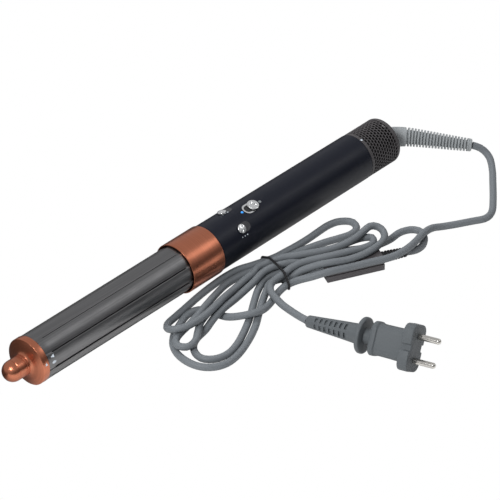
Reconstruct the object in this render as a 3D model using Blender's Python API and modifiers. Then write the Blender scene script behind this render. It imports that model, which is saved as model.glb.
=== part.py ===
"""Curling iron: a hot-air styler whose slotted barrel pulls off its handle, with its mains cord tied in a hank.

Lengths here are millimetres, and the helpers scale them to metres. The tool's axis runs along +X from the
cool tip to the cord, +Z is up with the power slider on top, and the origin is on the bench under mid-length.
"""

import math

import bmesh
import bpy
from mathutils import Matrix, Vector

MM = 0.001
GAP = 0.3

# Stations along the tool, from the tip's dome to the filter cage's rear edge
DOME_X = -214.5
FLANGE_X = -190.5
BARREL_X = -184.9
COLLAR_X = -29.0
HANDLE_X = 6.0
CAGE_X = 179.8
REAR_X = 214.5

# Radii
KNOB_R = 8.7
FLANGE_R = 19.8
BARREL_R = 19.6
BARREL_STEP = 0.8
BARREL_WALL = 1.2
COLLAR_R = 21.4
COLLAR_BORE = 20.2
HANDLE_FRONT_R = 20.5
HANDLE_REAR_R = 19.9
HANDLE_BORE = 18.4
CAGE_R = 19.7
CAGE_BORE = 18.4
CAGE_MOUTH = 14.0
VANES = 9
AXIS_Z = COLLAR_R

# Controls: distance along the tool and angle from the top line, positive towards -Y
CONTROL_ROLL = 12.5  # the tool lies rolled a little, so its controls look up and slightly towards -Y
POWER_X, POWER_TRAVEL, POWER_R = 54.5, 8.0, 5.0
SIDE_X, SIDE_TRAVEL, SIDE_R, SIDE_ANGLE = 31.0, 6.0, 3.8, 32.0
LED_X = 42.3

# Cord
CORD_R = 3.0
CORD_POINT_STEP = 15.0
LEAD_ROUTE = [
    (266, -52, 14.0), (271, -58, 11.0), (271, -66, 7.0), (263, -76, 4.0), (250, -88, 3.2), (232, -104, 3.2),
    (219, -114, 3.2), (209, -116, 3.2), (199, -111, 3.2), (188, -105, 3.4), (177, -99, 4.4), (166, -96.5, 7.5),
    (153, -98.5, 10.5), (139, -102.5, 12.5), (127, -105, 14.1), (115, -105.2, 14.4), (104.6, -102.4, 14.4),
    (93.8, -97.2, 14.2), (83, -92.1, 14.1), (72.1, -86.8, 13.8), (61.2, -81.8, 13.0), (52, -73, 9.2),
    (47, -66.5, 5.9),
]
BOX_LOOP_ROUTE = [
    (124, -78, 3.2), (134, -79.5, 3.2), (147, -79, 3.2), (156.5, -83, 3.2), (160, -90.5, 3.2), (155.5, -98.5, 3.2),
    (147, -103.8, 4.0), (137.4, -105.2, 5.4), (129.6, -102.8, 6.0),
]
TAIL_ROUTE = [(7.6, -78, 6.2), (6.8, -84, 4.5), (6.2, -91, 3.4), (5, -99, 4.4), (4, -105, 7.0), (3.7, -110, 10.0)]
RELIEF_ROUTE = [
    (212.2, 0, 21.4), (215.5, -0.2, 21.4), (222, -3.4, 21.3), (231, -11.5, 20.6), (243, -25.5, 18.6),
    (255, -39.5, 16.2), (265.2, -51.0, 14.2),
]
HANK_OUTLINE = [
    (-84, -42), (-62, -28), (-20, -23.5), (30, -24.5), (70, -27), (115, -36), (134, -52), (128, -68), (112, -70),
    (86, -59), (62, -55), (42, -57), (26, -60), (4, -73), (-24, -90), (-52, -99), (-80, -94), (-92, -72),
]
HANK_TOP = 15.0
TIE_CENTRE, TIE_ANGLE, TIE_HALF_WIDTH, TIE_R = (40.0, -41.4), 74.0, 20.0, 0.9

# In-line filter box: its front bottom corner, heading on the bench and outer size
BOX_CORNER, BOX_HEADING = (61.0, -80.0), -25.5
BOX_LENGTH, BOX_WIDTH, BOX_HEIGHT, BOX_SEAM = 49.0, 18.0, 12.0, 6.0
BOX_CHAMFER = 3.5

# Plug: the centre of its face, heading on the bench, rise of its pins and roll about their axis
PLUG_FACE, PLUG_HEADING, PLUG_RISE, PLUG_ROLL = (28.0, -203.4, 20.3), -75.0, 5.0, 54.0
PIN_R, PIN_LENGTH, PIN_HALF_SPACING = 2.4, 19.0, 9.5
PLUG_RELIEF_START = (3.6, -112.2, 11.8)

X_AXIS, Y_AXIS, Z_AXIS = Vector((1, 0, 0)), Vector((0, 1, 0)), Vector((0, 0, 1))
AXIS_START = Vector((0, 0, AXIS_Z))
FINISHES = {
    "copper": ((0.38, 0.10, 0.04), 0.35, 1.0),
    "barrel_metal": ((0.11, 0.11, 0.11), 0.3, 1.0),
    "navy_shell": ((0.012, 0.014, 0.022), 0.42, 0.0),
    "cage_plastic": ((0.09, 0.085, 0.09), 0.45, 0.3),
    "polished_metal": ((0.75, 0.75, 0.76), 0.12, 1.0),
    "steel": ((0.5, 0.5, 0.5), 0.35, 1.0),
    "black_plastic": ((0.02, 0.02, 0.02), 0.5, 0.0),
    "seal_rubber": ((0.015, 0.015, 0.015), 0.8, 0.0),
    "board_green": ((0.02, 0.16, 0.07), 0.5, 0.0),
    "ceramic_white": ((0.8, 0.78, 0.72), 0.6, 0.0),
    "coil_wire": ((0.35, 0.28, 0.22), 0.4, 1.0),
    "motor_copper": ((0.6, 0.25, 0.1), 0.4, 1.0),
    "led_blue": ((0.05, 0.25, 0.9), 0.2, 0.0),
    "relief_grey": ((0.22, 0.24, 0.25), 0.55, 0.0),
    "cord_grey": ((0.14, 0.15, 0.16), 0.55, 0.0),
    "plug_grey": ((0.09, 0.1, 0.11), 0.5, 0.0),
    "box_grey": ((0.11, 0.105, 0.11), 0.5, 0.0),
    "nickel": ((0.7, 0.68, 0.64), 0.2, 1.0),
}


def clear_scene():
    for item in list(bpy.data.objects):
        bpy.data.objects.remove(item, do_unlink=True)


def new_collection(name):
    collection = bpy.data.collections.new(name)
    bpy.context.scene.collection.children.link(collection)
    return collection


def finish(name):
    """The named Principled material, made the first time that it is asked for."""
    if name in bpy.data.materials:
        return bpy.data.materials[name]
    colour, roughness, metallic = FINISHES[name]
    material = bpy.data.materials.new(name)
    material.use_nodes = True
    shader = material.node_tree.nodes["Principled BSDF"]
    shader.inputs["Base Color"].default_value = (*colour, 1.0)
    shader.inputs["Roughness"].default_value = roughness
    shader.inputs["Metallic"].default_value = metallic
    return material


def add(name, data, material, matrix=None):
    """A new object in the part's collection, or in the cutters' where it has no material."""
    item = bpy.data.objects.new(name, data)
    if matrix is not None:
        item.matrix_world = matrix
    if material is None:
        cutters.objects.link(item)
        item.hide_render = True
        item.display_type = "WIRE"
    else:
        parts.objects.link(item)
        data.materials.append(finish(material))
    return item


def frame_along(start, along):
    """A matrix that puts local -Z along a direction, so that a profile listed downwards runs along it."""
    turn = Vector(along).normalized().to_track_quat("-Z", "Y")
    return Matrix.Translation(Vector(start) * MM) @ turn.to_matrix().to_4x4()


def turned(name, outline, material, steps=40, start=AXIS_START, along=X_AXIS, closed=False):
    """A turned piece. Its outline lists (distance along the axis, radius), down the outer side first."""
    mesh = bpy.data.meshes.new(name)
    points = [(radius * MM, 0, -distance * MM) for distance, radius in outline]
    edges = [(i, i + 1) for i in range(len(points) - 1)]
    if closed:
        edges.append((len(points) - 1, 0))
    mesh.from_pydata(points, edges, [])
    item = add(name, mesh, material, frame_along(start, along))
    screw = item.modifiers.new("turn", "SCREW")
    screw.steps = screw.render_steps = steps
    screw.use_merge_vertices = True
    screw.merge_threshold = 1e-5
    return item


def ring(name, x_from, x_to, inner, outer, material, steps=40, **place):
    outline = [(x_from, inner), (x_from, outer), (x_to, outer), (x_to, inner)]
    return turned(name, outline, material, steps, closed=True, **place)


def rod(name, x_from, x_to, radius, material, steps=16, **place):
    outline = [(x_from, 0), (x_from, radius), (x_to, radius), (x_to, 0)]
    return turned(name, outline, material, steps, **place)


def block(name, size, centre, material, turn=None, bevel=0.0):
    """A box of a size in millimetres, with its edges rounded where a bevel is given."""
    mesh = bpy.data.meshes.new(name)
    shape = bmesh.new()
    bmesh.ops.create_cube(shape, size=1.0)
    bmesh.ops.scale(shape, vec=Vector(size) * MM, verts=shape.verts)
    shape.to_mesh(mesh)
    shape.free()
    matrix = Matrix.Translation(Vector(centre) * MM)
    item = add(name, mesh, material, matrix @ turn if turn else matrix)
    if bevel:
        edge = item.modifiers.new("round", "BEVEL")
        edge.width, edge.segments = bevel * MM, 2
    return item


def tube(name, points, radius, material, radii=None, resolution=2):
    """A wire or cord on a POLY spline. radii gives each point's share of the radius."""
    curve = bpy.data.curves.new(name, "CURVE")
    curve.dimensions = "3D"
    curve.bevel_depth = radius * MM
    curve.bevel_resolution = resolution
    curve.resolution_u = 1
    curve.render_resolution_u = 0
    curve.use_fill_caps = True
    spline = curve.splines.new("POLY")
    spline.points.add(len(points) - 1)
    for i, point in enumerate(points):
        spline.points[i].co = (*(Vector(point) * MM), 1.0)
        spline.points[i].radius = radii[i] if radii else 1.0
    return add(name, curve, material)


def flat(name, loops, thickness, material, matrix):
    """A flat outline, with holes for its later loops, given a thickness across its plane. It is a mesh."""
    curve = bpy.data.curves.new(name, "CURVE")
    curve.dimensions = "2D"
    curve.fill_mode = "BOTH"
    curve.extrude = thickness / 2 * MM
    curve.resolution_u = 1
    curve.render_resolution_u = 0
    for loop in loops:
        spline = curve.splines.new("POLY")
        spline.points.add(len(loop) - 1)
        spline.use_cyclic_u = True
        for i, (x, y) in enumerate(loop):
            spline.points[i].co = (x * MM, y * MM, 0, 1)
    pattern = bpy.data.objects.new(name + "_outline", curve)
    cutters.objects.link(pattern)
    bpy.context.view_layer.update()
    mesh = bpy.data.meshes.new_from_object(pattern.evaluated_get(bpy.context.evaluated_depsgraph_get()))
    shape = bmesh.new()
    shape.from_mesh(mesh)
    bmesh.ops.remove_doubles(shape, verts=shape.verts, dist=1e-6)
    bmesh.ops.recalc_face_normals(shape, faces=shape.faces)
    shape.to_mesh(mesh)
    shape.free()
    mesh.materials.clear()
    bpy.data.objects.remove(pattern, do_unlink=True)
    return add(name, mesh, material, matrix)


def combine(item, others, operation="DIFFERENCE"):
    """Cuts the others away from a piece, or joins them to it."""
    for other in others:
        step = item.modifiers.new(operation.lower(), "BOOLEAN")
        step.operation = operation
        step.solver = "EXACT"
        step.object = other


def smooth_route(route, step=CORD_POINT_STEP, closed=False):
    """Points about one step apart on a Catmull-Rom curve through a route's own points."""
    knots = [Vector(point) for point in route]
    last = len(knots) if closed else len(knots) - 1
    points = []
    for i in range(last):
        if closed:
            a, b, c, d = (knots[(i + k) % len(knots)] for k in (-1, 0, 1, 2))
        else:
            b, c = knots[i], knots[i + 1]
            a = knots[i - 1] if i else b * 2 - c
            d = knots[i + 2] if i + 2 < len(knots) else c * 2 - b
        count = max(1, round((c - b).length / step))
        for k in range(count):
            t = k / count
            points.append(0.5 * (2 * b + (c - a) * t + (2 * a - 5 * b + 4 * c - d) * t**2
                                 + (3 * b - 3 * c + d - a) * t**3))
    return points if closed else points + [knots[-1]]


def arc(centre_x, centre_r, radius, start, end, count):
    """Outline points on an arc, with angles in degrees from the rearward direction."""
    angles = [math.radians(start + (end - start) * i / count) for i in range(count + 1)]
    return [(centre_x + radius * math.cos(a), centre_r + radius * math.sin(a)) for a in angles]


def around(angle, radius, x=0.0):
    """A point at a radius from the tool's axis, with its angle in degrees from the top towards -Y."""
    a = math.radians(angle)
    return Vector((x, -radius * math.sin(a), AXIS_Z + radius * math.cos(a)))


def roll_about_x(angle):
    return Matrix.Rotation(math.radians(angle), 4, "X")


def circle(radius, count, centre=(0.0, 0.0)):
    return [(centre[0] + radius * math.cos(2 * math.pi * i / count),
             centre[1] + radius * math.sin(2 * math.pi * i / count)) for i in range(count)]


def across_x(x):
    """A matrix for flat outlines that stand across the tool's axis at a station."""
    return Matrix.Translation(Vector((x, 0, AXIS_Z)) * MM) @ Matrix.Rotation(math.pi / 2, 4, "Y")


def slot_cutters(prefix, count, width, x_from, x_to, r_from, r_to, offset=0.0):
    """Radial boxes that cut lengthwise slots in a barrel."""
    made = []
    for i in range(count):
        angle = offset + 360 / count * i
        centre = around(angle, (r_from + r_to) / 2, (x_from + x_to) / 2)
        size = (x_to - x_from, width, r_to - r_from)
        made.append(block(f"{prefix}_{i}", size, centre, None, turn=roll_about_x(angle)))
    return made


# Barrel attachment ---------------------------------------------------------------------------------------------


def make_barrel():
    outer = []
    points_per_vane = 6
    for vane in range(VANES):
        for k in range(points_per_vane + 1):
            share = k / points_per_vane
            angle = math.radians(360 / VANES * (vane + share * 0.985))
            radius = BARREL_R - BARREL_STEP * share
            outer.append((radius * math.cos(angle), radius * math.sin(angle)))
    inner = circle(BARREL_R - BARREL_STEP - BARREL_WALL, 5 * VANES)
    rear = -6.0
    shell = flat("barrel_shell", [outer, inner], rear - BARREL_X, "barrel_metal",
                 across_x((BARREL_X + rear) / 2))
    combine(shell, slot_cutters("barrel_slot", VANES, 0.7, -178, -33, 16, 21, offset=2.5))

    sleeve_inner, sleeve_outer = 16.2, 17.1
    sleeve = ring("selector_sleeve", -182.4, -17.5, sleeve_inner, sleeve_outer, "black_plastic", steps=27)
    combine(sleeve, slot_cutters("sleeve_window", VANES, 5.0, -176, -34, 14, 19, offset=-8))

    cone = [(-170, 4.9), (-170, 5.9), (-18, 15.4), (-18, 14.4)]
    turned("air_guide", cone, "black_plastic", steps=20, closed=True)
    ring("tip_bush", -177, -170.4, 2.5, 4.6, "steel", steps=16)
    ring("barrel_end_ring", -17.2, -5.3, 14.0, 17.2, "black_plastic", steps=24)
    collar = [
        (COLLAR_X, COLLAR_BORE), (COLLAR_X, COLLAR_R - 0.6), (COLLAR_X + 0.6, COLLAR_R),
        (HANDLE_X - 0.9, COLLAR_R), (HANDLE_X - GAP, COLLAR_R - 0.6), (HANDLE_X - GAP, COLLAR_BORE),
        (-2, COLLAR_BORE), (-2, 13.5), (-5, 13.5), (-5, COLLAR_BORE),
    ]
    turned("barrel_collar", collar, "copper", steps=40, closed=True)
    ring("latch_ring", -1.7, 4.4, 16.4, 19.9, "steel", steps=24)


def make_tip():
    base_x = FLANGE_X - 3.0
    cap = [(DOME_X, 0)]
    cap += arc(DOME_X + KNOB_R, 0, KNOB_R, 165, 90, 5)
    cap += [(base_x, KNOB_R), (FLANGE_X, FLANGE_R - 0.5), (FLANGE_X + 0.5, FLANGE_R),
            (BARREL_X - 0.7, FLANGE_R), (BARREL_X - GAP, FLANGE_R - 0.4), (BARREL_X - GAP, 6), (-184, 6), (-184, 0)]
    turned("tip_cap", cap, "copper", steps=36)
    rod("tip_shaft", -183.7, -160, 2.1, "steel", steps=12)
    ring("shaft_clip", -163.5, -162.3, 2.4, 3.9, "steel", steps=12)


# Handle --------------------------------------------------------------------------------------------------------


def handle_radius(x):
    share = (x - HANDLE_X) / (CAGE_X - HANDLE_X)
    return HANDLE_FRONT_R + (HANDLE_REAR_R - HANDLE_FRONT_R) * share


def make_handle():
    outline = [
        (HANDLE_X, HANDLE_BORE), (HANDLE_X, HANDLE_FRONT_R - 0.5), (HANDLE_X + 0.5, HANDLE_FRONT_R),
        (CAGE_X - 0.7, HANDLE_REAR_R), (CAGE_X - GAP, HANDLE_REAR_R - 0.4), (CAGE_X - GAP, HANDLE_BORE),
    ]
    shell = turned("handle_shell", outline, "navy_shell", steps=40, closed=True)
    stem_room = 2.3
    slots = [("power_slot", CONTROL_ROLL, POWER_X - POWER_TRAVEL, POWER_X)]
    for side in (-1, 1):
        slots.append((f"side_slot_{side}", CONTROL_ROLL + side * SIDE_ANGLE, SIDE_X, SIDE_X + SIDE_TRAVEL))
    cutting = []
    for name, angle, first, last in slots:
        size = (last - first + 2 * stem_room, 2 * stem_room, 8)
        cutting.append(block(name, size, around(angle, 19, (first + last) / 2), None, turn=roll_about_x(angle)))
    led_way = around(CONTROL_ROLL, 1.0) - AXIS_START
    cutting.append(rod("led_hole", 14, 23, 1.1, None, start=(LED_X, 0, AXIS_Z), along=led_way))
    combine(shell, cutting)
    rod("led_lens", 15.2, handle_radius(LED_X) + 0.1, 0.8, "led_blue", steps=12,
        start=(LED_X, 0, AXIS_Z), along=led_way)

    spigot = [(-1.7, 14.0), (-1.7, 15.6), (HANDLE_X + GAP, 15.6), (HANDLE_X + GAP, 18.1), (10.0, 18.1), (10.0, 14.0)]
    turned("barrel_spigot", spigot, "black_plastic", steps=24, closed=True)


def make_sliders():
    """Polished buttons on stems that pass through the shell, and the switch each one works."""
    sliders = [
        ("power", POWER_X, CONTROL_ROLL, POWER_R, -POWER_TRAVEL, (15.0, 7.6, 3.0)),
        ("airflow", SIDE_X, CONTROL_ROLL + SIDE_ANGLE, SIDE_R, SIDE_TRAVEL, (12.0, 4.6, 2.6)),
        ("heat", SIDE_X, CONTROL_ROLL - SIDE_ANGLE, SIDE_R, SIDE_TRAVEL, (12.0, 4.6, 2.6)),
    ]
    for name, x, angle, radius, travel, body in sliders:
        seat = handle_radius(x) + 0.45
        top = seat + 1.7
        outward = around(angle, 1.0) - AXIS_START
        outline = [(top, 0), (top, radius - 0.5), (top - 0.3, radius), (seat, radius), (seat, 1.5), (15.6, 1.5),
                   (15.6, 0)]
        turned(f"{name}_slider", [(-s, r) for s, r in outline], "polished_metal", steps=18,
               start=(x, 0, AXIS_Z), along=-outward)
        block(f"{name}_switch", body, around(angle, 13.6, x + travel / 2), "black_plastic",
              turn=roll_about_x(angle))


def make_heater():
    duct = [(10.4, 8.6), (10.4, 9.8), (64, 9.8), (71.5, 15.0), (71.5, 13.8), (64, 8.6)]
    turned("air_duct", duct, "black_plastic", steps=16, closed=True)
    ring("heater_tube", 72, 122, 13.8, 15.0, "steel", steps=20)
    arm, web = 9.6, 0.7
    cross = []
    for quarter in range(4):
        a = math.pi / 2 * quarter
        for x, y in ((web, web), (web, arm), (-web, arm)):
            cross.append((x * math.cos(a) - y * math.sin(a), x * math.sin(a) + y * math.cos(a)))
    flat("heater_former", [cross], 44, "ceramic_white", across_x(97))
    turns, per_turn, coil_r = 6, 9, 10.9
    helix = []
    for i in range(turns * per_turn + 1):
        a = 2 * math.pi * i / per_turn
        helix.append((78 + 38 * i / (turns * per_turn), coil_r * math.cos(a), AXIS_Z + coil_r * math.sin(a)))
    tube("heater_coil", helix, 0.5, "coil_wire", resolution=1)
    rod("thermal_fuse", 84, 96, 1.5, "steel", start=(0, 4, AXIS_Z + 4))


def make_electronics():
    block("control_board", (40, 9, 1.0), around(CONTROL_ROLL, 10.6, 42), "board_green",
          turn=roll_about_x(CONTROL_ROLL))
    block("main_board", (52, 12, 1.2), (97, 0, AXIS_Z - 16.3), "board_green")


def make_motor():
    housing = [
        (132, 12.9), (132, 14.5), (166, 14.5), (166, 12.9), (147.5, 12.9), (147.5, 4.9), (145, 4.9), (145, 12.9),
    ]
    turned("motor_housing", housing, "steel", steps=20, closed=True)
    ring("motor_mount", 150, 156, 14.8, 18.1, "seal_rubber", steps=20)
    ring("front_bearing", 145, 147.5, 2.2, 4.6, "steel", steps=14)
    ring("stator", 149, 162, 6.6, 12.5, "motor_copper", steps=18)
    ring("rear_bearing", 168.4, 171, 2.2, 4.6, "steel", steps=14)
    rod("motor_shaft", 133.5, 170.6, 1.9, "steel", steps=12)
    ring("rotor_magnet", 149.5, 161.5, 2.2, 6.0, "steel", steps=16)
    blades, outer = 9, []
    for blade in range(blades):
        start = 360 / blades * blade
        for lead, radius in ((0, 5.2), (7, 8.5), (16, 12.2), (22, 12.2), (15, 8.5), (14, 5.2)):
            a = math.radians(start + lead)
            outer.append((radius * math.cos(a), radius * math.sin(a)))
    flat("impeller", [outer, circle(2.2, 12)], 8.0, "black_plastic", across_x(139))
    bulkhead = turned("motor_bulkhead", [(168.4, 4.9), (168.4, 18.1), (171.6, 18.1), (171.6, 4.9)],
                      "black_plastic", steps=24, closed=True)
    vents = [rod(f"vent_{i}", 166, 174, 3.2, None, steps=8, start=around(60 * i + 30, 11.5)) for i in range(6)]
    combine(bulkhead, vents)


def make_filter():
    cage = [(CAGE_X, CAGE_BORE), (CAGE_X, CAGE_R - 0.4), (CAGE_X + 0.4, CAGE_R)]
    cage += arc(REAR_X - 3.6, CAGE_R - 3.6, 3.6, 90, 0, 3)
    cage += [(REAR_X, CAGE_MOUTH), (REAR_X - 1.3, CAGE_MOUTH), (REAR_X - 1.3, CAGE_BORE - 2.4),
             (REAR_X - 3.7, CAGE_BORE)]
    shell = turned("filter_cage", cage, "cage_plastic", steps=36, closed=True)
    windows, rows = 12, 2
    cutting = []
    for row in range(rows):
        for i in range(windows // 2):
            angle = 360 / windows * (i + 0.5 * (row % 2))
            centre = Vector((191.5 + 11.5 * row, 0, AXIS_Z))
            cutting.append(block(f"window_{row}_{i}", (8.5, 5.6, 44), centre, None, turn=roll_about_x(angle)))
    combine(shell, cutting)
    ring("bayonet_ring", 176.5, 187, 16.7, 18.0, "black_plastic", steps=24)
    ring("filter_mesh", 187.4, 210.8, 15.2, 16.0, "steel", steps=24)
    ring("cable_stalk", 171.9, 211.2, 4.4, 6.0, "black_plastic", steps=16)
    hub = [(211.6, 8.0), (211.6, 13.4), (REAR_X - 0.8, 13.4), (REAR_X, 12.6), (REAR_X, 8.0)]
    turned("rear_hub", hub, "black_plastic", steps=24, closed=True)
    rod("inner_lead", 173, 211.8, 3.0, "cord_grey", steps=12)


# Cord ----------------------------------------------------------------------------------------------------------


def make_relief():
    """The long tapered sleeve that the cord leaves the handle in, bent to one side."""
    route = smooth_route(RELIEF_ROUTE, step=6.0)
    plain = 3
    radii = [7.4 - 2.7 * max(0, i - plain) / (len(route) - 1 - plain) for i in range(len(route))]
    tube("strain_relief", route, 1.0, "relief_grey", radii=radii)


def make_hank():
    outline = [tuple(point) for point in smooth_route([(x, y) for x, y in HANK_OUTLINE], 12.0, closed=True)]
    level = (HANK_TOP + GAP) / 2
    flat("cord_hank", [outline], HANK_TOP - GAP, "cord_grey", Matrix.Translation((0, 0, level * MM)))
    across = Vector((math.cos(math.radians(TIE_ANGLE)), math.sin(math.radians(TIE_ANGLE)), 0))
    middle = Vector((*TIE_CENTRE, 0))
    arch = []
    for side, height in ((-1, 1.2), (-1, 12.0), (-0.93, 16.4), (-0.7, 17.2), (0.7, 17.2), (0.93, 16.4), (1, 12.0),
                         (1, 1.2)):
        arch.append(middle + across * side * TIE_HALF_WIDTH + Z_AXIS * height)
    tube("cord_tie", arch, TIE_R, "seal_rubber", resolution=1)


def make_filter_box():
    """Two shells that meet at a seam, a ferrite core between them, and a ribbed sleeve at the cord's entry."""
    turn = Matrix.Rotation(math.radians(BOX_HEADING), 4, "Z")
    along, back = turn.to_3x3() @ X_AXIS, turn.to_3x3() @ Y_AXIS
    corner = Vector((*BOX_CORNER, 0))
    middle = corner + along * BOX_LENGTH / 2 + back * BOX_WIDTH / 2
    half, depth = BOX_LENGTH / 2, BOX_WIDTH / 2
    section_base = [(-depth, 0), (depth, 0), (depth, BOX_SEAM - 0.2), (-depth, BOX_SEAM - 0.2)]
    section_lid = [(-depth, BOX_SEAM + 0.2), (depth, BOX_SEAM + 0.2), (depth, BOX_HEIGHT - BOX_CHAMFER),
                   (depth - BOX_CHAMFER, BOX_HEIGHT), (-depth + BOX_CHAMFER, BOX_HEIGHT),
                   (-depth, BOX_HEIGHT - BOX_CHAMFER)]
    stand = Matrix.Translation(middle * MM) @ turn @ Matrix((
        (0, 0, 1, 0), (1, 0, 0, 0), (0, 1, 0, 0), (0, 0, 0, 1)))
    base = flat("filter_box_base", [section_base], BOX_LENGTH, "box_grey", stand)
    lid = flat("filter_box_lid", [section_lid], BOX_LENGTH, "box_grey", stand)
    room = (BOX_LENGTH - 4, BOX_WIDTH - 4, BOX_HEIGHT - 4)
    hollow = block("box_hollow", room, middle + Z_AXIS * (BOX_HEIGHT / 2), None, turn=turn)
    entry = rod("box_entry", half - 4, half + 4, 3.6, None, start=middle + Z_AXIS * 6, along=along)
    combine(base, [hollow, entry])
    combine(lid, [hollow, entry])
    ring("filter_core", -8, 8, 1.8, 3.6, "steel", steps=16, start=middle + Z_AXIS * 6, along=along)
    sleeve = [(half + GAP, 0), (half + GAP, 4.6), (half + 6, 4.4), (half + 21.5, 3.7), (half + 21.5, 0)]
    turned("box_relief", sleeve, "box_grey", steps=20, start=middle + Z_AXIS * 6, along=along)


def plug_frame():
    """Origin at the centre of the plug's face, local +Z out along the pins, local X from pin to pin."""
    heading, rise, roll = (math.radians(angle) for angle in (PLUG_HEADING, PLUG_RISE, PLUG_ROLL))
    out = Vector((math.cos(heading) * math.cos(rise), math.sin(heading) * math.cos(rise), math.sin(rise)))
    level = Z_AXIS.cross(out).normalized()
    pins = level * math.cos(roll) + out.cross(level) * math.sin(roll)
    across = out.cross(pins)
    matrix = Matrix((pins, across, out)).transposed().to_4x4()
    return Matrix.Translation(Vector(PLUG_FACE) * MM) @ matrix


def plug_face_outline(half_width=18.6, half_height=12.6, notch=2.6, depth=2.8):
    """An oval with flat sides and a notch in the middle of each long side."""
    corner = 7.0
    loop = []
    for sx, sy, first in ((1, 1, 0), (-1, 1, 90), (-1, -1, 180), (1, -1, 270)):
        for k in range(5):
            a = math.radians(first + 22.5 * k)
            loop.append((sx * (half_width - corner) + corner * math.cos(a),
                         sy * (half_height - corner) + corner * math.sin(a)))
    upper = [(notch, half_height), (notch, half_height - depth), (-notch, half_height - depth),
             (-notch, half_height)]
    lower = [(-x, -y) for x, y in upper]
    return loop[:5] + upper + loop[5:15] + lower + loop[15:]


def make_plug():
    frame = plug_frame()
    rotation = frame.to_3x3()
    face, out, pins = Vector(PLUG_FACE), rotation @ Z_AXIS, rotation @ X_AXIS
    flat("plug_face", [plug_face_outline()], 8.6, "plug_grey", frame @ Matrix.Translation((0, 0, -4.3 * MM)))
    body_block = block("plug_body", (27.0, 19.0, 28.0), face - out * (9.0 + 14.0), "plug_grey",
                       turn=rotation.to_4x4(), bevel=3.0)
    neck = rod("plug_neck_form", -43.2, -36, 6.4, None, steps=20, start=face, along=out)
    combine(body_block, [neck], "UNION")
    rod("plug_guard", -47.5, -43.5, 13.8, "plug_grey", steps=24, start=face, along=out)
    for name, side in (("plug_pin_upper", 1), ("plug_pin_lower", -1)):
        outline = [(GAP, 0), (GAP, PIN_R), (PIN_LENGTH - 1.8, PIN_R), (PIN_LENGTH - 0.6, PIN_R * 0.75),
                   (PIN_LENGTH, PIN_R * 0.3), (PIN_LENGTH, 0)]
        turned(name, outline, "nickel", steps=20, start=face + pins * side * PIN_HALF_SPACING, along=out)
    tail = face - out * 47.8
    entry = Vector(PLUG_RELIEF_START)
    heading = (tail - entry).normalized()
    route = smooth_route([entry, entry + heading * 14, tail - out * 16, tail], step=6.0)
    radii = [4.6 + 4.4 * i / (len(route) - 1) for i in range(len(route))]
    tube("plug_relief", route, 1.0, "plug_grey", radii=radii)


def make_cords():
    tube("cord_lead", smooth_route(LEAD_ROUTE), CORD_R, "cord_grey")
    tube("cord_box_loop", smooth_route(BOX_LOOP_ROUTE), CORD_R, "cord_grey")
    tube("cord_tail", smooth_route(TAIL_ROUTE, step=10.0), CORD_R, "cord_grey")


clear_scene()
parts = new_collection("curling_iron")
cutters = new_collection("cutters")
make_barrel()
make_tip()
make_handle()
make_sliders()
make_heater()
make_electronics()
make_motor()
make_filter()
make_relief()
make_hank()
make_filter_box()
make_plug()
make_cords()
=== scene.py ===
# %% [markdown]
# # A hot-air curling iron, lying beside its tied mains cord
#
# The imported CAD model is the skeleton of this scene. It already has every part in its real place, in metres,
# with +X running from the cool tip to the cord and +Z up. We load it first, and then put a finer visible
# piece over each plain CAD solid that the eye will rest on. The CAD solids underneath keep moving the joints.

# %% Load the frame
import math

import bmesh
import bpy
import numpy as np
from mathutils import Matrix, Vector


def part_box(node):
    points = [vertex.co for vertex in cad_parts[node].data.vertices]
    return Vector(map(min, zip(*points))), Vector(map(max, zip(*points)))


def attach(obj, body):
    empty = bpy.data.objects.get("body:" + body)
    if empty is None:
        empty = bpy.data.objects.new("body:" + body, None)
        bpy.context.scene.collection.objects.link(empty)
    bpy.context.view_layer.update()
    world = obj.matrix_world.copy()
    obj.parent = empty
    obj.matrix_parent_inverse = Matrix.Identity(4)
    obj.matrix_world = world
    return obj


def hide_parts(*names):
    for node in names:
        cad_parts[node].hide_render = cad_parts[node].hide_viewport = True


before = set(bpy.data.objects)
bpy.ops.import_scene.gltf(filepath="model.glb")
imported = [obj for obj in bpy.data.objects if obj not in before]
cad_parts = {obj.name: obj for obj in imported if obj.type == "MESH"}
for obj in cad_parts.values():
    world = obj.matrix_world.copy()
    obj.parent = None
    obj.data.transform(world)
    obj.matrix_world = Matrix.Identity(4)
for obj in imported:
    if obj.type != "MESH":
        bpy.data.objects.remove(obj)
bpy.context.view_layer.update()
MM = 0.001
X_AXIS, Y_AXIS, Z_AXIS = Vector((1, 0, 0)), Vector((0, 1, 0)), Vector((0, 0, 1))
low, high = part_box("barrel_collar")
axis_height = (low.z + high.z) / 2 / MM
print("the tool's axis is", round(axis_height, 2), "mm above the bench")

# %% [markdown]
# The camera stands well back with a long lens, so the tool keeps nearly the same thickness from end to end.
# Its place follows from two angles: how far round the object it stands, and how high above the bench it looks
# down from. Nothing else in the scene depends on it.

# %% Camera
CAMERA_AZIMUTH, CAMERA_ELEVATION, CAMERA_DISTANCE, CAMERA_LENS = -46.3, 37.0, 3.5, 315.6
azimuth, elevation = math.radians(CAMERA_AZIMUTH), math.radians(CAMERA_ELEVATION)
backward = Vector((math.sin(azimuth) * math.cos(elevation), -math.cos(azimuth) * math.cos(elevation),
                   math.sin(elevation)))
aim = Vector((0.0503, -0.0054, 0.0))
camera_data = bpy.data.cameras.new("camera")
camera_data.lens = CAMERA_LENS
camera_data.clip_end = 20
camera = bpy.data.objects.new("camera", camera_data)
camera.location = aim + backward * CAMERA_DISTANCE
camera.rotation_euler = (-backward).to_track_quat("-Z", "Y").to_euler()
bpy.context.scene.collection.objects.link(camera)
bpy.context.scene.camera = camera

# %% [markdown]
# A Principled material is needed many times, so it gets a helper, and so does the linking of a new object to
# the scene. Plain values go straight on to the shader's own sockets.

# %% Small helpers


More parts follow.
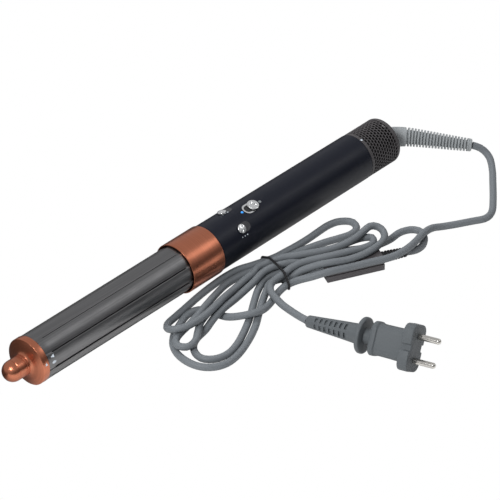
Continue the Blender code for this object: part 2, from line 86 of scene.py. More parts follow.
def plain_material(name, colour, roughness=0.5, metallic=0.0):
    """A Principled material with its plain values on the shader itself."""
    made = bpy.data.materials.new(name)
    made.use_nodes = True
    shader = made.node_tree.nodes["Principled BSDF"]
    shader.inputs["Base Color"].default_value = (*colour, 1.0)
    shader.inputs["Roughness"].default_value = roughness
    shader.inputs["Metallic"].default_value = metallic
    return made


def link(item):
    """Links an object to the scene, and gives it back."""
    bpy.context.scene.collection.objects.link(item)
    return item


# %% [markdown]
# The bench is one large white sheet. A camera sees it as pure white, because a Light Path node swaps in a plain
# emission for camera rays. Metal and plastic see something else: a bench painted bright in front of the tool
# and dark behind it, a painted reflection that draws the light lower edge along every round part. One Map Range
# along Y makes that change, for the bench's colour and for its faint glow, which is painted light that lifts the
# undersides of the tool and the cord.

# %% Bench
BENCH_HALF, BENCH_DROP = 6.0, 0.0004
DARK_FROM, BRIGHT_FROM, DARK_BENCH, BRIGHT_BENCH = 0.015, -0.02, 0.04, 0.6
bench_mesh = bpy.data.meshes.new("bench")
bench_shape = bmesh.new()
bmesh.ops.create_grid(bench_shape, x_segments=1, y_segments=1, size=BENCH_HALF)
bench_shape.to_mesh(bench_mesh)
bench_shape.free()
bench = link(bpy.data.objects.new("bench", bench_mesh))
bench.location.z = -BENCH_DROP
bench_white = plain_material("bench_white", (0.6, 0.6, 0.6), 0.9)
bench_tree = bench_white.node_tree
bench_shader = bench_tree.nodes["Principled BSDF"]
# Painted reflection: for every ray but the camera's, the bench is dark behind the tool and bright in front of it.
painted_reflection_tones = bench_tree.nodes.new("ShaderNodeMapRange")
painted_reflection_tones.inputs["From Min"].default_value = DARK_FROM
painted_reflection_tones.inputs["From Max"].default_value = BRIGHT_FROM
painted_reflection_tones.inputs["To Min"].default_value = DARK_BENCH
painted_reflection_tones.inputs["To Max"].default_value = BRIGHT_BENCH
bench_place = bench_tree.nodes.new("ShaderNodeTexCoord")
bench_parts = bench_tree.nodes.new("ShaderNodeSeparateXYZ")
bench_tree.links.new(bench_place.outputs["Object"], bench_parts.inputs["Vector"])
bench_tree.links.new(bench_parts.outputs["Y"], painted_reflection_tones.inputs["Value"])
bench_tree.links.new(painted_reflection_tones.outputs["Result"], bench_shader.inputs["Base Color"])
bench_tree.links.new(painted_reflection_tones.outputs["Result"], bench_shader.inputs["Emission Color"])
# Painted light: the bench glows faintly in the same tones, lighting the tool and the cord from below.
bench_shader.inputs["Emission Strength"].default_value = 0.35
glow = bench_tree.nodes.new("ShaderNodeEmission")
glow.inputs["Strength"].default_value = 1.0
seen = bench_tree.nodes.new("ShaderNodeLightPath")
blend = bench_tree.nodes.new("ShaderNodeMixShader")
bench_tree.links.new(seen.outputs["Is Camera Ray"], blend.inputs["Fac"])
bench_tree.links.new(bench_shader.outputs["BSDF"], blend.inputs[1])
bench_tree.links.new(glow.outputs["Emission"], blend.inputs[2])
bench_tree.links.new(blend.outputs["Shader"], bench_tree.nodes["Material Output"].inputs["Surface"])
bench_mesh.materials.append(bench_white)
print("the bench is", 2 * BENCH_HALF, "m wide")

# %% [markdown]
# Polished metal shows whatever stands round it, so the light that fills the shadows and the light that draws
# highlights are kept apart. Two large soft keys are hidden from glossy rays: they brighten the plastic and the
# cord without burning a streak along the barrel. Two small panels do the opposite. One draws the soft streak
# along the barrel and the collar, and the other gives the knob and the slider buttons their bright spots.

# %% Lights


def panel(name, place, size, power, seen_in_metal):
    """A rectangular light that faces the middle of the object, and is seen in polished metal or not."""
    data = bpy.data.lights.new(name, "AREA")
    data.shape = "RECTANGLE"
    data.size, data.size_y = size
    data.energy = power
    item = link(bpy.data.objects.new(name, data))
    item.location = place
    item.rotation_euler = (aim - Vector(place)).to_track_quat("-Z", "Y").to_euler()
    item.visible_glossy = seen_in_metal
    item.visible_diffuse = not seen_in_metal
    print(name, "stands", round((aim - Vector(place)).length, 2), "m away")


panel("rear_key", (0.6, 0.9, 1.3), (0.9, 0.6), 15, False)
panel("left_key", (-1.3, -0.3, 1.2), (0.6, 0.8), 26, False)
panel("streak_panel", (0.92, -0.66, 1.14), (0.55, 0.55), 1.3, True)
panel("spot_panel", (-1.02, -0.22, 1.17), (0.42, 0.32), 6.5, True)

# %% [markdown]
# The sky is a ramp from dark at the horizon to a mid grey overhead, tipped a little towards the back. The dark
# part is what gives the metal its deep tones between the highlights, as the black flags round a product table
# do. The ramp reads the direction of each ray, through its dot product with the way that is brightest.

# %% Sky
BRIGHTEST_WAY = (0.0, 0.5, 1.0)
SKY_STEPS = ((0.22, (0.13, 0.13, 0.14, 1)), (0.5, (0.42, 0.42, 0.43, 1)))
world = bpy.data.worlds.new("studio")
world.use_nodes = True
room = world.node_tree
sky = room.nodes["Background"]
heading = room.nodes.new("ShaderNodeTexCoord")
height = room.nodes.new("ShaderNodeVectorMath")
height.operation = "DOT_PRODUCT"
height.inputs[1].default_value = BRIGHTEST_WAY
shade = room.nodes.new("ShaderNodeValToRGB")
horizon, overhead = shade.color_ramp.elements
horizon.position, horizon.color = 0.0, (0.06, 0.06, 0.065, 1)
overhead.position, overhead.color = 0.75, (0.52, 0.52, 0.53, 1)
for step, tone in SKY_STEPS:
    shade.color_ramp.elements.new(step).color = tone
lift = room.nodes.new("ShaderNodeMath")
lift.operation = "ADD"
lift.inputs[1].default_value = 0.3
room.links.new(heading.outputs["Generated"], height.inputs[0])
room.links.new(height.outputs["Value"], lift.inputs[0])
room.links.new(lift.outputs["Value"], shade.inputs["Fac"])
room.links.new(shade.outputs["Color"], sky.inputs["Color"])
sky.inputs["Strength"].default_value = 1.0
bpy.context.scene.world = world
bpy.context.scene.view_settings.view_transform = "Standard"
print("the sky has", len(shade.color_ramp.elements), "tones")

# %% [markdown]
# ## The cord
#
# A mains lead has one fixed length, and it lies where its stiffness, its weight and the bench let it. Here the
# whole of it shows: it leaves the handle in its sleeve, drops to the bench, turns back, and is folded into a
# hank that a wire tie holds at its waist. We lay the route lobe by lobe, as one would fold it, and say
# at each point how high the strand runs, so that the order of the crossings is ours. A short relaxation then
# makes room: strands that would pass through each other are pushed apart in long soft bumps, which is how a
# stiff cord behaves. A full simulation of such a fold would be slower, and would lose the order of the strands.

# %% Route of the cord, in millimetres
CORD_R = 3.0
CORD_LINK = 3.5
TIE_CENTRE = np.array([40.0, -41.4, 0.0])
STRANDS_RUN = np.array([0.961, -0.276, 0.0])
STRANDS_ACROSS = np.array([0.276, 0.961, 0.0])


def through_tie(across, height, rightwards):
    """Two points that take a strand through the wire tie, at a place across the bundle and a height."""
    ends = [tuple(TIE_CENTRE + STRANDS_RUN * s + STRANDS_ACROSS * across + (0, 0, height)) for s in (-9, 9)]
    return ends if rightwards else ends[::-1]


lead = [
    (265.6, -51.5, 14.2), (271, -58, 11.0), (271, -66, 7.0), (263, -76, 4.0), (250, -88, 3.2), (232, -104, 3.2),
    (219, -114, 3.2), (209, -116, 3.2), (199, -111, 3.2), (188, -105, 3.4), (177, -99, 4.4), (166, -96.5, 7.5),
    (153, -98.5, 10.5), (139, -102.5, 12.5), (127, -105, 13.8), (115, -104.5, 13.8), (104.6, -101.2, 13.3),
    (93.8, -96, 13), (83, -90.9, 12.9), (72.1, -85.7, 12.6), (61.3, -80, 11.5), (52.5, -72.5, 8.5), (45.5, -65, 5.4),
    (36.5, -61.2, 4), (26, -62, 4.6), (16, -65.5, 6.6),
]
cross_loop = [
    (5, -70.5, 9), (-7, -74, 9.8), (-17, -72, 9.5), (-23.5, -64.5, 6.5), (-28, -55, 3.6),
    (-31, -45, 3.2), (-33.5, -36.5, 3.2), (-40, -31, 3.2), (-50, -31, 3.2), (-61, -35.5, 3.2), (-72, -41.5, 3.2),
    (-81.5, -50, 3.2), (-87.5, -60, 3.2), (-89.5, -71.5, 3.2), (-87.5, -82.5, 3.2), (-81, -91, 3.2),
    (-70.5, -95.5, 3.2), (-56.5, -94.5, 3.2), (-39, -88.5, 3.2), (-22, -80, 3.2), (-8, -70.5, 3.2),
    (5, -61.5, 3.2), (17, -54, 3.2),
]
over_box = [
    (54, -58, 7.5), (60, -67, 12), (68, -77, 15), (80, -84, 15.7), (96, -88.5, 15.7), (110, -88.5, 15.7),
    (120, -85.8, 15.7), (127.5, -79.5, 15.7), (129.5, -72.5, 17), (124.5, -67.8, 18.8), (115, -68.3, 18.6),
    (106, -68.5, 17.6), (97, -67, 16.4), (87, -63.5, 14.8), (77, -58.5, 13), (67, -52.5, 11.3), (58, -46, 10),
]
outer_loop = [
    (22, -37, 9.6), (8, -38.5, 10.2), (-7, -41, 11.5), (-21, -45, 14), (-34, -48.5, 15.3), (-47, -51, 15.3),
    (-59, -52, 15.3), (-69.5, -51, 15), (-76, -45.5, 13.5), (-76, -38, 11), (-68.5, -31.5, 9),
    (-57, -28, 7), (-44, -25, 5.4), (-27, -21.5, 4), (-10, -19.3, 3.3), (7, -18.3, 3.2), (22, -19.6, 3.2),
]
back_lobe = [
    (65, -30.6, 3.2), (78, -31.4, 3.2), (91, -31.6, 3.2), (104, -31, 3.2), (115, -31, 3.2), (124.5, -33.8, 3.2),
    (131, -41.5, 3.2), (127.5, -50, 3.2), (118, -52.2, 3.2), (107, -48.7, 3.2), (96, -44.6, 3.2), (84, -41, 3.2),
    (71, -37.8, 3.2),
]
second_loop = [
    (21, -27, 4.8), (7, -26.3, 6.6), (-6, -28.8, 8.2), (-20, -34, 9.4), (-33, -38.7, 9.5), (-46, -42, 9.4),
    (-58, -43.7, 9.4), (-70, -45.5, 9.4), (-80.5, -49.5, 9.4), (-86, -57, 9.4), (-81.5, -64.5, 9.4), (-72, -64, 9.5),
    (-62, -57.5, 9.8), (-52, -50.5, 10), (-41, -46.5, 9.8), (-29, -44.4, 9.4), (-17, -42.5, 7.5), (-4, -41, 5),
    (9, -39, 3.6), (21, -37, 3.2),
]
low_lobe = [
    (63, -45.5, 3.2), (78, -51.5, 3.2), (93, -60, 3.2), (107, -69.5, 3.2), (120, -76.5, 3.2), (134, -79.5, 3.2),
    (147, -79, 3.2), (156.5, -83, 3.2), (160, -90.5, 3.2), (155.5, -98.5, 3.2), (147, -103.8, 4),
    (137.4, -105.2, 5.4),
]
in_box = [(128.5, -102.2, 6.0), (109.1, -92.9, 6.0), (87.0, -82.4, 6.0), (64.9, -71.9, 6.0)]
from_box = [(57.2, -66.5, 4.6), (52.5, -58.5, 3.5)]
inner_loop = [
    (16, -48.5, 3.2), (4, -55.5, 3.2), (-9, -63.5, 3.2), (-22, -71.5, 3.2), (-36, -79.5, 3.2), (-49, -85.5, 3.2),
    (-61, -88, 3.2), (-72, -85.5, 3.2), (-78.5, -78, 3.2), (-77.5, -69, 3.2), (-71.5, -61, 3.2), (-62, -56, 3.7),
    (-52, -54.5, 5.5), (-41, -52.5, 8.8), (-29, -50.5, 9.5), (-15, -48.3, 9.5), (0, -45.6, 9.5), (14, -43.5, 9.5),
]
steep_lobe = [
    (62, -50.5, 8), (76, -56, 8), (90, -60.5, 8.6), (103, -63, 9.6), (113.5, -66.8, 11.5), (118, -74.8, 14.6),
    (111.5, -82.2, 15.7), (101, -82, 15.7), (91, -78.5, 15.7), (82, -74, 15.4), (73, -68.5, 14.5),
    (64, -62.5, 12.5), (55, -58, 10.8), (45.5, -55.8, 10.5),
]
tail = [
    (36, -55.5, 10.8), (27, -55, 11.2), (18.5, -57.8, 12), (12.3, -63.7, 12.3), (9.2, -71.3, 12), (7.2, -80, 11.6),
    (6.2, -90, 11.2), (5.2, -98, 11.2), (4.2, -105, 11.4), (3.6, -111.8, 11.8),
]
route = (
    lead + cross_loop + through_tie(-10, 3.2, True) + over_box + through_tie(5, 9.6, False) + outer_loop
    + through_tie(15, 3.2, True) + back_lobe + through_tie(9, 3.2, False) + second_loop
    + through_tie(2.5, 3.2, True) + low_lobe + in_box + from_box + through_tie(-4, 3.2, False) + inner_loop
    + through_tie(-2, 9.6, True) + steep_lobe + tail
)


def smooth_points(knots, step):
    """Points a fixed distance apart on a Catmull-Rom curve through the knots."""
    knots = np.array(knots, float)
    fine = []
    for i in range(len(knots) - 1):
        b, c = knots[i], knots[i + 1]
        a = knots[i - 1] if i else 2 * b - c
        d = knots[i + 2] if i + 2 < len(knots) else 2 * c - b
        for t in np.linspace(0, 1, 24, endpoint=False):
            fine.append(0.5 * (2 * b + (c - a) * t + (2 * a - 5 * b + 4 * c - d) * t**2
                               + (3 * b - 3 * c + d - a) * t**3))
    fine = np.array(fine + [knots[-1]])
    along = np.concatenate([[0], np.cumsum(np.linalg.norm(np.diff(fine, axis=0), axis=1))])
    stations = np.linspace(0, along[-1], round(along[-1] / step) + 1)
    return np.stack([np.interp(stations, along, fine[:, k]) for k in range(3)], axis=1)


laid = smooth_points(route, CORD_LINK)
print("the cord is laid with", len(laid), "links")

# %% [markdown]
# The filter box, its sleeve and the tool are simple shapes, so a link that sinks into one is moved to the
# nearest place outside. All the pushes of one round are blurred along the cord before they are applied, and
# that blur is the cord's stiffness: no push can make a kink shorter than itself. The two ends and the stretch
# inside the filter box are held.

# %% Pushes that keep strands and solids apart
BOX_MIDDLE, BOX_HEADING = np.array([87.0, -82.4]), math.radians(-25.5)
BOX_HALF = np.array([24.5, 9.0])
BOX_HEIGHT, BOX_CHAMFER = 12.0, 3.5
BOX_RELIEF_R = 4.2
STRAND_GAP = 0.15
TOOL_R = high.z / MM / 2


def box_push(points):
    """The shortest way out of the filter box, up or sideways, for each link."""
    turn = np.array([[math.cos(BOX_HEADING), math.sin(BOX_HEADING)],
                     [-math.sin(BOX_HEADING), math.cos(BOX_HEADING)]])
    local = (points[:, :2] - BOX_MIDDLE) @ turn.T
    inside = BOX_HALF - np.abs(local)
    shoulder = np.clip(BOX_CHAMFER - inside[:, 1], 0, BOX_CHAMFER)
    lift = BOX_HEIGHT - shoulder + CORD_R - points[:, 2]
    slide = inside + CORD_R
    hit = (lift > 0) & (slide.min(axis=1) > 0)
    push = np.zeros_like(points)
    up = hit & (lift <= slide.min(axis=1))
    push[up, 2] = lift[up]
    for axis in (0, 1):
        side = hit & ~up & (slide[:, axis] == slide.min(axis=1))
        step = np.zeros((side.sum(), 2))
        step[:, axis] = np.sign(local[side, axis]) * slide[side, axis]
        push[side, :2] = step @ turn
    return push


def round_push(points, start, end, radius):
    """The way off a straight round piece for each link."""
    start, end = np.array(start, float), np.array(end, float)
    run = end - start
    share = np.clip((points - start) @ run / (run @ run), 0, 1)
    away = points - (start + share[:, None] * run)
    distance = np.linalg.norm(away, axis=1)
    depth = np.clip(radius + CORD_R - distance, 0, None)
    return away / distance[:, None] * depth[:, None]


def near_pairs(points, skip=7, reach=12.0):
    """Pairs of links from different strands that lie close together."""
    distance = np.linalg.norm(points[:, None, :] - points[None, :, :], axis=2)
    first, second = np.nonzero(distance < reach)
    apart = second - first > skip
    return first[apart], second[apart]


def strand_push(points, pairs):
    """Half of what each pair of links is too close, given to both."""
    first, second = pairs
    gap = points[first] - points[second]
    distance = np.linalg.norm(gap, axis=1)
    depth = np.clip(2 * CORD_R + STRAND_GAP - distance, 0, None)
    step = gap / distance[:, None] * depth[:, None] / 2
    push, strongest = np.zeros_like(points), np.zeros(len(points))
    np.add.at(push, first, step)
    np.add.at(push, second, -step)
    np.maximum.at(strongest, first, depth / 2)
    np.maximum.at(strongest, second, depth / 2)
    size = np.linalg.norm(push, axis=1)
    return push * (np.minimum(size, strongest) / np.maximum(size, 1e-9))[:, None]


# %% Settle the cord
STIFF_LINKS = 4.0
LONGEST_STEP = 0.4
blur_reach = np.arange(-12, 13)
blur = np.exp(-blur_reach**2 / (2 * STIFF_LINKS**2))
blur /= blur.sum()


def settle(start, rounds=260, weight=0.012):
    """Lets the laid cord sink a little and make room for itself, and returns its links."""
    points = start.copy()
    free = np.ones(len(points))
    box_in = np.linalg.norm(points - np.array(in_box[0]), axis=1).argmin()
    box_out = np.linalg.norm(points - np.array(in_box[-1]), axis=1).argmin()
    for held in (slice(0, 2), slice(box_in, box_out + 1), slice(len(points) - 2, None)):
        free[held] = 0
    nearest_held = np.abs(np.arange(len(points))[:, None] - np.nonzero(free == 0)[0][None, :]).min(axis=1)
    free = np.clip(nearest_held / 8, 0, 1)
    beside = (nearest_held > 9)[:, None]
    for turn in range(rounds):
        if turn % 10 == 0:
            pairs = near_pairs(points)
        push = strand_push(points, pairs) + box_push(points) * beside
        push += round_push(points, in_box[0], in_box[1], BOX_RELIEF_R) * beside
        push += round_push(points, (-200, 0, axis_height), (220, 0, axis_height), TOOL_R)
        push[:, 2] += np.clip(CORD_R + 0.05 - points[:, 2], 0, None)
        push[:, 2] -= weight
        padded = np.pad(push, ((12, 12), (0, 0)), mode="edge")
        soft = np.stack([np.convolve(padded[:, k], blur, mode="valid") for k in range(3)], 1)
        points += np.clip(soft * free[:, None], -LONGEST_STEP, LONGEST_STEP)
    return points


settled = settle(laid)


def strand_overlaps(points, skip=7):
    """How far strands still pass into each other, and where."""
    first, second = near_pairs(points, skip)
    depth = 2 * CORD_R - np.linalg.norm(points[first] - points[second], axis=1)
    order = np.argsort(-depth)[:6]
    return [(round(float(depth[k]), 2), points[first[k]].round(0).tolist()) for k in order]


print("the closest strands pass into each other by", strand_overlaps(settled))
print("its lowest link is at", settled[:, 2].min().round(2), "mm")

# %% [markdown]
# A curve with a round bevel is the natural tube for a cord. Blender counts each point's radius in the curve's
# box, so the thickness is carried by the points' radius, and the bevel depth stays at one.

# %% Cord as a tube
cord_curve = bpy.data.curves.new("mains_cord", "CURVE")
cord_curve.dimensions = "3D"
cord_curve.bevel_depth = 1.0
cord_curve.bevel_resolution = 4
cord_curve.resolution_u = 1
cord_curve.use_fill_caps = True
spline = cord_curve.splines.new("POLY")
spline.points.add(len(settled) - 1)
for i, point in enumerate(settled):
    spline.points[i].co = (*(Vector(point) * MM), 1.0)
    spline.points[i].radius = CORD_R * MM
cord_object = link(bpy.data.objects.new("mains_cord", cord_curve))
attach(cord_object, "root")
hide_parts("cord_lead", "cord_hank", "cord_box_loop", "cord_tail")
print("the cord's tube has", len(spline.points), "points")

# %% [markdown]
# ## Finishes
#
# Two effects come back in all of the finishes, so each is a shader node group that is built once. A fine grain
# is what a spark-eroded mould leaves on plastic, and, squeezed one way, it is also the lines that a lathe or a
# brush leaves on metal. Smudges are where hands have touched, and they only change how rough the surface is.
# Each group gives out plain values, and the shader stays in the material.

# %% Shared effects


def effect_group(name, inputs, output):
    """An empty shader node group with number inputs and one number output."""
    group = bpy.data.node_groups.new(name, "ShaderNodeTree")
    for title, value in inputs:
        socket = group.interface.new_socket(title, in_out="INPUT", socket_type="NodeSocketFloat")
        socket.default_value = value
    group.interface.new_socket(output, in_out="OUTPUT", socket_type="NodeSocketFloat")
    return group, group.nodes.new("NodeGroupInput"), group.nodes.new("NodeGroupOutput")


def stretched_noise(group, along, around, detail):
    """Noise on Object coordinates with its own scale along the tool and across it, in repeats a metre."""
    place = group.nodes.new("ShaderNodeTexCoord")
    scales = group.nodes.new("ShaderNodeCombineXYZ")
    group.links.new(along, scales.inputs["X"])
    group.links.new(around, scales.inputs["Y"])
    group.links.new(around, scales.inputs["Z"])
    stretch = group.nodes.new("ShaderNodeVectorMath")
    stretch.operation = "MULTIPLY"
    group.links.new(place.outputs["Object"], stretch.inputs[0])
    group.links.new(scales.outputs["Vector"], stretch.inputs[1])
    noise = group.nodes.new("ShaderNodeTexNoise")
    noise.inputs["Scale"].default_value = 1.0
    noise.inputs["Detail"].default_value = detail
    group.links.new(stretch.outputs["Vector"], noise.inputs["Vector"])
    return noise.outputs["Fac"]


def spread_out(group, value, low, high):
    """A value stretched so that low becomes 0 and high becomes 1."""
    ramp = group.nodes.new("ShaderNodeMapRange")
    ramp.inputs["From Min"].default_value = low
    ramp.inputs["From Max"].default_value = high
    group.links.new(value, ramp.inputs["Value"])
    return ramp.outputs["Result"]


fine_grain, grain_in, grain_out = effect_group(
    "fine_grain", [("Along", 1500.0), ("Across", 1500.0)], "Pattern")
grain_value = stretched_noise(fine_grain, grain_in.outputs["Along"], grain_in.outputs["Across"], 3.0)
fine_grain.links.new(spread_out(fine_grain, grain_value, 0.3, 0.7), grain_out.inputs["Pattern"])

hand_smudges, smudge_in, smudge_out = effect_group(
    "hand_smudges", [("Roughness", 0.4), ("Spread", 0.1), ("Size", 45.0)], "Roughness")
smudge_value = stretched_noise(hand_smudges, smudge_in.outputs["Size"], smudge_in.outputs["Size"], 5.0)
smudge_ramp = hand_smudges.nodes.new("ShaderNodeMath")
smudge_ramp.operation = "MULTIPLY_ADD"
hand_smudges.links.new(spread_out(hand_smudges, smudge_value, 0.35, 0.7), smudge_ramp.inputs[0])
hand_smudges.links.new(smudge_in.outputs["Spread"], smudge_ramp.inputs[1])
hand_smudges.links.new(smudge_in.outputs["Roughness"], smudge_ramp.inputs[2])
hand_smudges.links.new(smudge_ramp.outputs["Value"], smudge_out.inputs["Roughness"])
print("shared effects:", [group.name for group in bpy.data.node_groups])

# %% [markdown]
# One helper places both effects in a material. The pattern mixes a darker and a lighter tone of the colour and
# lifts a faint bump, and the smudges drive the roughness. A turned metal has its pattern squeezed along the
# tool, so that it draws fine rings, and a brushed plate has it squeezed across.

# %% Materials


def finish(name, colour, roughness, metallic=0.0, along=1500.0, across=1500.0, contrast=0.1, spread=0.08,
           bump=0.1, depth=0.00003, shine=0.5):
    """A Principled material with a patterned colour, a smudged roughness and a faint bump."""
    material = plain_material(name, colour, roughness, metallic)
    tree = material.node_tree
    shader = tree.nodes["Principled BSDF"]
    shader.inputs["Specular IOR Level"].default_value = shine
    pattern = tree.nodes.new("ShaderNodeGroup")
    pattern.node_tree = fine_grain
    pattern.inputs["Along"].default_value = along
    pattern.inputs["Across"].default_value = across
    tones = tree.nodes.new("ShaderNodeMix")
    tones.data_type = "RGBA"
    tones.inputs["A"].default_value = (*[c * (1 - contrast) for c in colour], 1.0)
    tones.inputs["B"].default_value = (*[c * (1 + contrast) for c in colour], 1.0)
    tree.links.new(pattern.outputs["Pattern"], tones.inputs["Factor"])
    tree.links.new(tones.outputs["Result"], shader.inputs["Base Color"])
    smudges = tree.nodes.new("ShaderNodeGroup")
    smudges.node_tree = hand_smudges
    smudges.inputs["Roughness"].default_value = roughness
    smudges.inputs["Spread"].default_value = spread
    tree.links.new(smudges.outputs["Roughness"], shader.inputs["Roughness"])
    relief = tree.nodes.new("ShaderNodeBump")
    relief.inputs["Strength"].default_value = bump
    relief.inputs["Distance"].default_value = depth
    tree.links.new(pattern.outputs["Pattern"], relief.inputs["Height"])
    tree.links.new(relief.outputs["Normal"], shader.inputs["Normal"])
    return material


copper = finish("copper", (0.56, 0.2, 0.115), 0.27, 1.0, 2600, 18, 0.1, 0.07, 0.12)
barrel_metal = finish("barrel_metal", (0.2, 0.2, 0.202), 0.34, 1.0, 14, 1500, 0.14, 0.08, 0.12)
navy_shell = finish("navy_shell", (0.0032, 0.0046, 0.0105), 0.36, 0.0, 2200, 2200, 0.2, 0.07, 0.1, shine=0.3)
cage_plastic = finish("cage_plastic", (0.052, 0.048, 0.05), 0.5, 0.0, 2400, 2400, 0.14, 0.08, 0.12)
polished_metal = finish("polished_metal", (0.86, 0.87, 0.87), 0.1, 1.0, 900, 900, 0.05, 0.06, 0.04)
steel = finish("steel", (0.42, 0.42, 0.43), 0.32, 1.0, 1500, 40, 0.12, 0.1, 0.1)
black_plastic = finish("black_plastic", (0.014, 0.014, 0.015), 0.5, 0.0, 1800, 1800, 0.2, 0.1, 0.15)
seal_rubber = finish("seal_rubber", (0.011, 0.011, 0.012), 0.6, 0.0, 1400, 1400, 0.25, 0.12, 0.25)
board_green = finish("board_green", (0.02, 0.16, 0.07), 0.42, 0.0, 500, 500, 0.2, 0.1, 0.2)
ceramic_white = finish("ceramic_white", (0.78, 0.76, 0.7), 0.6, 0.0, 900, 900, 0.08, 0.1, 0.2)
coil_wire = finish("coil_wire", (0.35, 0.28, 0.22), 0.4, 1.0, 900, 900, 0.15, 0.1, 0.1)
motor_copper = finish("motor_copper", (0.6, 0.25, 0.1), 0.35, 1.0, 300, 1800, 0.2, 0.1, 0.2)
relief_grey = finish("relief_grey", (0.27, 0.288, 0.296), 0.55, 0.0, 1800, 1800, 0.08, 0.1, 0.15)
cord_grey = finish("cord_grey", (0.135, 0.148, 0.16), 0.5, 0.0, 1600, 1600, 0.1, 0.1, 0.15)
plug_grey = finish("plug_grey", (0.085, 0.095, 0.102), 0.52, 0.0, 1700, 1700, 0.1, 0.1, 0.15)
box_grey = finish("box_grey", (0.072, 0.066, 0.07), 0.48, 0.0, 1700, 1700, 0.12, 0.1, 0.15)
nickel = finish("nickel", (0.66, 0.64, 0.6), 0.13, 1.0, 1200, 1200, 0.06, 0.08, 0.06)
white_ink = finish("white_ink", (0.6, 0.66, 0.72), 0.5, 0.0, 1500, 1500, 0.08, 0.08, 0.1)
grey_ink = finish("grey_ink", (0.16, 0.175, 0.18), 0.5, 0.0, 1500, 1500, 0.1, 0.08, 0.1)
# Painted shade: the filter mesh is steel, but it is made nearly black so that the cage's holes read dark.
painted_shade_mesh = finish("painted_shade_mesh", (0.02, 0.02, 0.021), 0.5, 1.0, 1500, 1500, 0.15, 0.1, 0.1)
recess_grey = finish("recess_grey", (0.042, 0.042, 0.047), 0.3, 0.3, 1500, 1500, 0.15, 0.08, 0.1)
led_blue = finish("led_blue", (0.02, 0.2, 0.62), 0.2, 0.0, 900, 900, 0.15, 0.05, 0.05)
led_shader = led_blue.node_tree.nodes["Principled BSDF"]
led_shader.inputs["Emission Color"].default_value = (0.03, 0.3, 0.9, 1.0)
led_shader.inputs["Emission Strength"].default_value = 0.55
print(len(bpy.data.materials), "materials")
cord_curve.materials.append(cord_grey)

# %% [markdown]
# ## Making the pieces
#
# Nearly everything on this tool was turned or moulded round one axis, so most pieces start as a half profile
# that is spun about it. Four helpers cover the rest: a bar swept along a route for the sleeves, a small flat
# shape that is wrapped round the tool for its marks and recesses, a cleaned-up copy of a CAD solid where its
# shape is already right, and one that hands a finished shape over to the frame.

# %% Helpers that make and finish a piece
AXIS_POINT = Vector((0, 0, axis_height * MM))


def finished(shape, name, material, body, stands_for=(), crease=34):
    """Cleans the shape, marks its sharp edges, and gives it to a body of the frame."""
    bmesh.ops.remove_doubles(shape, verts=shape.verts, dist=0.002 * MM)
    bmesh.ops.recalc_face_normals(shape, faces=shape.faces)
    for face in shape.faces:
        face.smooth = True
    for edge in shape.edges:
        edge.smooth = edge.calc_face_angle(0.0) < math.radians(crease)
    mesh = bpy.data.meshes.new(name)
    shape.to_mesh(mesh)
    shape.free()
    mesh.materials.append(material)
    piece = link(bpy.data.objects.new(name, mesh))
    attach(piece, body)
    if stands_for:
        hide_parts(*stands_for)
    print(name, "has", len(mesh.polygons), "faces")
    return piece


def turned(profile, steps=96, closed=False):
    """A shape spun about the tool's axis from points of place along it and radius, in mm."""
    shape = bmesh.new()
    rim = [shape.verts.new((x * MM, 0, (axis_height + radius) * MM)) for x, radius in profile]
    edges = [shape.edges.new(pair) for pair in zip(rim, rim[1:])]
    if closed:
        edges.append(shape.edges.new((rim[-1], rim[0])))
    bmesh.ops.spin(shape, geom=rim + edges, cent=AXIS_POINT, axis=X_AXIS, angle=math.tau, steps=steps,
                   use_merge=True)
    return shape


def rounded(start, corner, end, radius, steps=4):
    """Points that turn a profile's corner with a small radius."""
    start, corner, end = Vector(start), Vector(corner), Vector(end)
    first, last = (start - corner).normalized(), (end - corner).normalized()
    a, b = corner + first * radius, corner + last * radius
    return [tuple(a.lerp(corner, t).lerp(corner.lerp(b, t), t)) for t in (k / steps for k in range(steps + 1))]


def swept(route, radii, sides=24, loop=False):
    """A round bar: one circle at each station of the route, and neighbours bridged. All in mm."""
    shape = bmesh.new()
    stations = [Vector(point) * MM for point in route]
    last = len(stations) - 1
    rings = []
    for i, place in enumerate(stations):
        ahead = stations[(i + 1) % (last + 1)] if loop else stations[min(i + 1, last)]
        behind = stations[i - 1] if loop else stations[max(i - 1, 0)]
        turn = Z_AXIS.rotation_difference(ahead - behind).to_matrix().to_4x4()
        made = bmesh.ops.create_circle(shape, segments=sides, radius=radii[i] * MM,
                                       matrix=Matrix.Translation(place) @ turn)
        rings.append(list({edge for vert in made["verts"] for edge in vert.link_edges}))
    for one, other in zip(rings, rings[1:]):
        bmesh.ops.bridge_loops(shape, edges=one + other)
    if loop:
        bmesh.ops.bridge_loops(shape, edges=rings[-1] + rings[0])
    else:
        for ring in (rings[0], rings[-1]):
            bmesh.ops.holes_fill(shape, edges=ring, sides=sides)
    return shape


def wrap(shape, place, angle, radius):
    """Bends a flat shape round the tool: its x runs along the tool, its y round it, and its z outwards."""
    for vert in shape.verts:
        x, y, z = vert.co / MM
        a = math.radians(angle) + y / radius
        r = radius + z
        vert.co = Vector((place + x, -r * math.sin(a), axis_height + r * math.cos(a))) * MM
    return shape


def outward_frame(place, angle, radius):
    """A matrix whose Z points out from the tool, at an angle from the top towards -Y, and whose X is +X."""
    a = math.radians(angle)
    out = Vector((0, -math.sin(a), math.cos(a)))
    turn = Matrix((X_AXIS, out.cross(X_AXIS), out)).transposed().to_4x4()
    return Matrix.Translation(AXIS_POINT + X_AXIS * place * MM + out * radius * MM) @ turn


